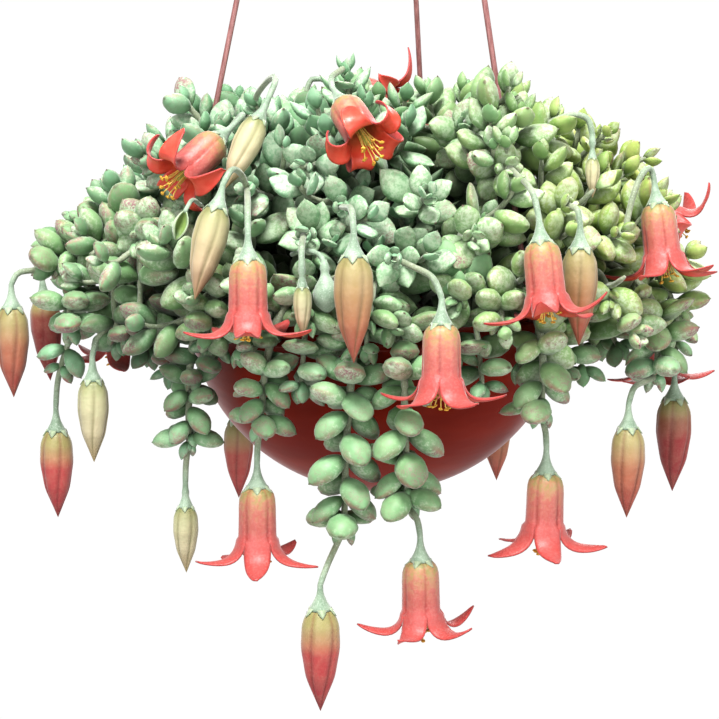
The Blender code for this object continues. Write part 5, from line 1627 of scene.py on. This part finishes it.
class Shader(Nodes):
    """A material's nodes."""

    def __init__(self, name, **settings):
        self.material = bpy.data.materials.new(name)
        self.material.use_nodes = True
        super().__init__(self.material.node_tree)
        self.surface = self.tree.nodes["Principled BSDF"]
        for socket, value in settings.items():
            self.surface.inputs[socket.replace("_", " ")].default_value = value
        self.place = self.node("ShaderNodeTexCoord").outputs["Object"]

    def noise(self, scale, detail=3.0, rough=0.55, contrast=None, stretch=None):
        """A noise of features about 1 / scale metres, sharpened to a range if one is given."""
        place = self.place
        if stretch:
            shift = {"Scale": list(stretch), "Vector": place}
            place = self.node("ShaderNodeMapping", shift).outputs["Vector"]
        inputs = {"Scale": scale, "Detail": detail, "Roughness": rough, "Vector": place}
        value = self.node("ShaderNodeTexNoise", inputs).outputs["Fac"]
        return self.spread(value, *contrast) if contrast else value

    def cells(self, scale, reach):
        """Small dots: 1 at the middle of a cell and 0 past reach."""
        made = self.node("ShaderNodeTexVoronoi", {"Scale": scale, "Vector": self.place})
        return self.spread(made.outputs["Distance"], reach, 0.0)

    def spread(self, value, low, high, bottom=0.0, top=1.0):
        """The value from low to high, mapped smoothly to bottom to top."""
        inputs = {"Value": value, "From Min": low, "From Max": high, "To Min": bottom, "To Max": top}
        return self.node("ShaderNodeMapRange", inputs, interpolation_type="SMOOTHSTEP").outputs["Result"]

    def plus(self, a, b):
        """The sum of two values."""
        return self.node("ShaderNodeMath", {0: a, 1: b}, operation="ADD").outputs[0]

    def times(self, *values):
        """The product of several values."""
        result = values[0]
        for value in values[1:]:
            result = self.node("ShaderNodeMath", {0: result, 1: value}, operation="MULTIPLY").outputs[0]
        return result

    def mix(self, share, a, b, kind="MIX"):
        """A blend of two colours."""
        inputs = {"Factor": share, 6: a, 7: b}
        return self.node("ShaderNodeMix", inputs, data_type="RGBA", blend_type=kind).outputs[2]

    def marks(self, name="marks"):
        """The four numbers that a piece stores at each point."""
        made = self.node("ShaderNodeAttribute", attribute_name=name)
        split = self.node("ShaderNodeSeparateColor", {"Color": made.outputs["Color"]})
        return (*split.outputs[:3], made.outputs["Alpha"])

    def finish(self, colour, roughness=None, height=None, depth=0.0002):
        """Links colour, roughness and relief to the surface and returns the material."""
        self.put(self.surface.inputs["Base Color"], colour)
        if roughness is not None:
            self.put(self.surface.inputs["Roughness"], roughness)
        if height is not None:
            bump = self.node("ShaderNodeBump", {"Distance": depth, "Strength": 0.6, "Height": height})
            self.put(self.surface.inputs["Normal"], bump.outputs["Normal"])
        return self.material


def leaf_material():
    """Waxy leaf: grey-green under a fine pale bloom, heavier on the upper faces as a painted highlight,
    blushed towards a small dark tip, with painted shade towards the base and deep in the foliage.
    """
    s = Shader("leaf_wax", Roughness=0.6, Specular_IOR_Level=0.35, Sheen_Weight=0.15, Sheen_Roughness=0.4)
    along, blush, yellow, blue = s.marks()
    up, bloom_share_and_shade, edge, point = s.marks("more")
    cloud = s.noise(75.0, 3.0, 0.6, (0.3, 0.7))
    green = s.mix(cloud, (0.085, 0.18, 0.046), (0.195, 0.32, 0.108))
    green = s.mix(s.spread(bloom_share_and_shade, 0.0, 1.0, 0.0, 0.5), green, (0.18, 0.32, 0.15))
    green = s.mix(s.times(yellow, 0.85), green, s.mix(cloud, (0.155, 0.25, 0.024), (0.40, 0.47, 0.11)))
    green = s.mix(s.times(blue, 0.7), green, s.mix(cloud, (0.11, 0.26, 0.15), (0.21, 0.40, 0.275)))
    # the pale bloom is real wax, and its weight on each leaf's upper face is a painted highlight
    streak = s.noise(520.0, 4.0, 0.75, (0.38, 0.66))
    wax_and_highlight = s.spread(s.plus(s.times(up, 0.70), s.times(streak, 0.55)), 0.45, 1.12, 0.06, 0.78)
    bloom = s.times(wax_and_highlight, s.spread(bloom_share_and_shade, 0.0, 1.0, 0.65, 1.0), s.spread(cloud, 0.0, 1.0, 0.7, 1.0))
    green = s.mix(bloom, green, (0.56, 0.62, 0.49))
    patch = s.noise(230.0, 5.0, 0.7, (0.36, 0.58))
    speck = s.noise(1250.0, 3.0, 0.7, (0.40, 0.60))
    rose = s.times(blush, s.spread(along, 0.38, 0.8), patch, s.spread(up, 0.35, 0.9, 0.35, 1.0),
                   s.spread(speck, 0.0, 1.0, 0.35, 1.6))
    green = s.mix(rose, green, (0.255, 0.145, 0.145))
    margin = s.times(s.spread(edge, 0.86, 1.0), s.spread(along, 0.45, 0.8), blush, 0.5)
    green = s.mix(margin, green, (0.30, 0.12, 0.10))
    dots = s.times(s.cells(1100.0, 0.3), s.spread(patch, 0.2, 0.9), s.spread(blush, 0.1, 0.9), 0.6)
    green = s.mix(dots, green, (0.16, 0.11, 0.085))
    tip = s.times(s.spread(along, 0.962, 0.995), s.spread(bloom_share_and_shade, 0.1, 0.6, 0.3, 1.0),
                  s.spread(point, 0.1, 0.6, 0.5, 1.0))
    green = s.mix(tip, green, (0.07, 0.035, 0.025))
    # painted shade: each leaf darkens towards its base, where the leaves crowd round the stem
    base = s.spread(along, 0.45, 0.0, 0.0, 0.75)
    green = s.mix(base, green, (0.028, 0.065, 0.014))
    # painted shade: leaves deep in the foliage and under the left arm are darkened as if in shadow
    deep = s.spread(bloom_share_and_shade, 0.0, -1.0, 0.0, 0.72)
    green = s.mix(deep, green, (0.022, 0.042, 0.014))
    rough = s.spread(bloom, 0.0, 0.6, 0.52, 0.74)
    return s.finish(green, rough, s.noise(1400.0, 2.0, 0.5), 0.00011)


def stalk_material():
    """Powdery stalk: brownish on the old stems, grey-green up to the calyx, pale on its sepals."""
    s = Shader("stalk_powder", Roughness=0.75, Sheen_Weight=0.35, Sheen_Roughness=0.5)
    along, sepal, inside, _ = s.marks()
    old = s.noise(160.0, 4.0, 0.6, (0.35, 0.65))
    low = s.mix(old, (0.14, 0.17, 0.10), (0.21, 0.235, 0.15))
    high = s.mix(old, (0.15, 0.215, 0.145), (0.25, 0.325, 0.24))
    colour = s.mix(s.spread(along, 0.3, 0.7), low, high)
    dust = s.noise(1500.0, 3.0, 0.7, (0.5, 0.72))
    colour = s.mix(s.times(dust, 0.5), colour, (0.46, 0.51, 0.45))
    rust = s.cells(420.0, 0.22)
    colour = s.mix(s.times(rust, s.spread(along, 0.0, 0.9, 0.5, 0.1)), colour, (0.20, 0.13, 0.09))
    colour = s.mix(s.times(sepal, 0.35), colour, (0.36, 0.40, 0.22))
    colour = s.mix(inside, colour, s.mix(old, (0.05, 0.10, 0.02), (0.16, 0.24, 0.05)))
    return s.finish(colour, s.spread(dust, 0.0, 1.0, 0.6, 0.85), s.noise(1300.0, 3.0, 0.6), 0.0002)


def bell_outside():
    """The bell's outside, peach at its base and coral to its lobes, with darker grooves and edges."""
    s = Shader("bell_outside", Roughness=0.45, Sheen_Weight=0.2, Sheen_Roughness=0.4)
    along, edge, groove, _ = s.marks()
    streak = s.noise(420.0, 3.0, 0.6, (0.35, 0.65))
    shifted = s.plus(along, s.spread(streak, 0.0, 1.0, -0.05, 0.05))
    colour = s.ramp(shifted, ((0.0, (0.36, 0.31, 0.10)), (1.0, (0.52, 0.05, 0.042)),
                              (0.06, (0.50, 0.31, 0.12)), (0.14, (0.58, 0.25, 0.135)),
                              (0.26, (0.60, 0.165, 0.115)), (0.45, (0.56, 0.105, 0.088)),
                              (0.75, (0.56, 0.085, 0.07))))
    colour = s.mix(s.times(edge, s.spread(along, 0.3, 0.6), 0.55), colour, (0.56, 0.032, 0.025))
    colour = s.mix(s.times(groove, s.spread(along, 0.0, 0.4, 0.35, 0.65)), colour, (0.36, 0.036, 0.026))
    bloom = s.noise(1100.0, 3.0, 0.65, (0.42, 0.8))
    colour = s.mix(s.times(bloom, 0.25), colour, (0.78, 0.40, 0.34))
    colour = s.mix(1.0, colour, (0.61, 0.66, 0.70), "MULTIPLY")
    return s.finish(colour, s.spread(bloom, 0.0, 1.0, 0.48, 0.62), streak, 0.00012)


def bell_inside():
    """The bell's inside, yellow at its base and a stronger red out to its lobes."""
    s = Shader("bell_inside", Roughness=0.4)
    along = s.marks()[0]
    streak = s.noise(380.0, 3.0, 0.6, (0.35, 0.65))
    colour = s.ramp(along, ((0.0, (0.60, 0.42, 0.10)), (1.0, (0.72, 0.06, 0.04)), (0.3, (0.74, 0.20, 0.06)),
                            (0.5, (0.78, 0.065, 0.03)), (0.75, (0.80, 0.08, 0.045))))
    colour = s.mix(s.times(streak, 0.25), colour, (0.86, 0.17, 0.10))
    colour = s.mix(1.0, colour, (0.74, 0.86, 0.95), "MULTIPLY")
    return s.finish(colour, None, streak, 0.0001)


def bud_material():
    """Bud: yellow-green that turns through peach to red from the tip down as it ripens."""
    s = Shader("bud_skin", Roughness=0.45, Sheen_Weight=0.2, Sheen_Roughness=0.4)
    along, seam, ripe, _ = s.marks()
    cloud = s.noise(260.0, 3.0, 0.6, (0.3, 0.7))
    young = s.ramp(along, ((0.0, (0.24, 0.31, 0.10)), (1.0, (0.48, 0.38, 0.17)), (0.2, (0.66, 0.70, 0.40)),
                           (0.6, (0.82, 0.78, 0.50))))
    warm = s.ramp(along, ((0.0, (0.34, 0.35, 0.12)), (1.0, (0.40, 0.08, 0.035)), (0.15, (0.50, 0.43, 0.19)),
                          (0.5, (0.57, 0.30, 0.13)), (0.8, (0.58, 0.15, 0.085))))
    red = s.ramp(along, ((0.0, (0.34, 0.36, 0.12)), (1.0, (0.25, 0.02, 0.025)), (0.14, (0.45, 0.42, 0.16)),
                         (0.28, (0.56, 0.31, 0.15)), (0.42, (0.64, 0.09, 0.085)), (0.8, (0.56, 0.045, 0.06))))
    colour = s.mix(s.spread(ripe, 0.0, 0.35), young, warm)
    colour = s.mix(s.spread(ripe, 0.35, 0.8), colour, red)
    full = s.times(s.spread(ripe, 0.85, 1.0), s.spread(along, 0.05, 0.25), 0.85)
    colour = s.mix(full, colour, (0.36, 0.03, 0.032))
    colour = s.mix(s.times(cloud, 0.14), colour, (0.72, 0.52, 0.34))
    lines = s.times(seam, s.spread(along, 0.0, 0.6, 0.35, 0.6))
    colour = s.mix(lines, colour, s.mix(s.spread(ripe, 0.2, 0.7), (0.22, 0.22, 0.07), (0.27, 0.035, 0.028)))
    bloom = s.noise(1100.0, 3.0, 0.65, (0.45, 0.8))
    colour = s.mix(s.times(bloom, 0.16), colour, (0.78, 0.58, 0.42))
    colour = s.mix(1.0, colour, (0.55, 0.52, 0.53), "MULTIPLY")
    return s.finish(colour, s.spread(bloom, 0.0, 1.0, 0.5, 0.65), cloud, 0.00015)


def stamen_material():
    """Yellow filaments, golden anthers dusted with pollen and green styles."""
    s = Shader("stamen_gold", Roughness=0.7)
    anther, style, _, _ = s.marks()
    grain = s.noise(1800.0, 3.0, 0.7, (0.4, 0.65))
    gold = s.mix(grain, (0.42, 0.20, 0.02), (0.86, 0.56, 0.08))
    thread = s.mix(grain, (0.74, 0.52, 0.10), (0.86, 0.68, 0.24))
    colour = s.mix(s.spread(anther, 0.5, 0.8), thread, gold)
    colour = s.mix(s.times(style, 0.8), colour, (0.42, 0.48, 0.10))
    return s.finish(colour, None, grain, 0.0002)


def pot_material():
    """Glossy red-brown plastic with faint flow marks, light dust and fine scuffs."""
    s = Shader("pot_plastic", Roughness=0.3, Specular_IOR_Level=0.09)
    flow = s.noise(16.0, 3.0, 0.5, (0.3, 0.7), (1.0, 1.0, 4.0))
    colour = s.mix(flow, (0.15, 0.008, 0.002), (0.215, 0.016, 0.004))
    dust = s.noise(260.0, 5.0, 0.7, (0.58, 0.85))
    colour = s.mix(s.times(dust, 0.06), colour, (0.45, 0.22, 0.14))
    scuff = s.noise(60.0, 4.0, 0.6, (0.55, 0.8), (1.0, 1.0, 4.0))
    rough = s.plus(s.spread(dust, 0.0, 1.0, 0.28, 0.4), s.times(scuff, 0.06))
    return s.finish(colour, rough, flow, 0.0003)


def earth_material():
    """Dark crumbly soil with paler grains."""
    s = Shader("earth_crumb", Roughness=0.95)
    lump = s.noise(240.0, 5.0, 0.7, (0.3, 0.7))
    colour = s.mix(lump, (0.018, 0.011, 0.007), (0.075, 0.048, 0.030))
    grit = s.cells(330.0, 0.2)
    colour = s.mix(s.times(grit, 0.5), colour, (0.22, 0.17, 0.12))
    return s.finish(colour, None, lump, 0.0012)


def hanger_material():
    """Mauve-brown plastic with a faint grain along it and rubbed paler spots."""
    s = Shader("hanger_plastic", Roughness=0.42)
    grain = s.noise(700.0, 4.0, 0.6, (0.3, 0.7), (1.0, 1.0, 0.12))
    colour = s.mix(grain, (0.16, 0.062, 0.058), (0.27, 0.125, 0.118))
    rub = s.noise(120.0, 4.0, 0.7, (0.56, 0.78))
    colour = s.mix(s.times(rub, 0.3), colour, (0.42, 0.27, 0.25))
    return s.finish(colour, s.spread(rub, 0.0, 1.0, 0.38, 0.6), grain, 0.0002)


def make_floor():
    """A plain pale floor well below the hanging bowl."""
    sides = 96
    low = RIM_Z / 1000.0 - FLOOR_DROP
    points = [(0.0, 0.0, low), *round_points([(FLOOR_R, low)], sides)]
    mesh = bpy.data.meshes.new("floor")
    mesh.from_pydata(np.array(points).tolist(), [], [(0, 1 + k, 1 + (k + 1) % sides) for k in range(sides)])
    floor = new_object("floor", mesh)
    s = Shader("floor_paper", Roughness=0.9)
    mesh.materials.append(s.finish(s.mix(s.noise(3.0), (0.66, 0.66, 0.655), (0.70, 0.70, 0.695))))


def make_surround():
    """An even white surround, dimmer overhead and far below, and the way that colours are shown."""
    world = bpy.data.worlds.new("studio")
    world.use_nodes = True
    s = Nodes(world.node_tree)
    way = s.node("ShaderNodeTexCoord").outputs["Generated"]
    height = s.node("ShaderNodeSeparateXYZ", {0: way}).outputs["Z"]
    level = s.node("ShaderNodeMapRange", {"Value": height, "From Min": -1.0}).outputs["Result"]
    light = s.ramp(level, [(0.5 + 0.5 * height, (share,) * 3) for height, share in SURROUND])
    background = s.tree.nodes["Background"]
    s.put(background.inputs["Color"], light)
    s.put(background.inputs["Strength"], SURROUND_STRENGTH)
    bpy.context.scene.world = world
    bpy.context.scene.view_settings.view_transform = "Standard"
    bpy.context.scene.view_settings.gamma = GAMMA


def make_lamps():
    """Soft round lamps that face the bowl."""
    for name, place, size, power in LAMPS:
        data = bpy.data.lights.new(name, "AREA")
        data.shape = "DISK"
        data.size = size
        data.energy = power
        lamp = new_object(name, data)
        lamp.location = RIM + Vector(place)
        turn_to(lamp, RIM)


def make_camera():
    """The camera at the photograph's angle, aimed so that the rim's centre falls where it does there."""
    data = bpy.data.cameras.new("camera")
    data.sensor_width = SENSOR
    data.lens = SENSOR * VIEW_DISTANCE / PIXEL / VIEW_PIXELS
    camera = new_object("camera", data)
    high = math.radians(VIEW_HEIGHT)
    back = Vector((0.0, -math.cos(high), math.sin(high)))
    rise = Vector((0.0, math.sin(high), math.cos(high)))
    camera.location = RIM + back * VIEW_DISTANCE
    aim = RIM + Vector((1.0, 0.0, 0.0)) * (VIEW_PIXELS / 2 - RIM_AT[0]) * PIXEL
    aim -= rise * (VIEW_PIXELS / 2 - RIM_AT[1]) * PIXEL
    turn_to(camera, aim)
    bpy.context.scene.camera = camera


def main():
    """Makes every piece of the looks."""
    make_camera()
    make_floor()
    make_surround()
    make_lamps()
    runs, pairs, crowd = lay_out()
    make_pot(pot_material())
    make_earth(earth_material())
    plastic = hanger_material()
    make_strands(plastic)
    make_hook(plastic)
    make_foliage(runs, pairs, crowd)
    petal = [bell_outside(), bell_inside()]
    gold = stamen_material()
    for row in [*FLOWERS, BEHIND]:
        make_bell(row, petal)
        make_stamens(row, gold)
    skin = bud_material()
    for row in BUDS:
        make_bud(row, skin)


main()
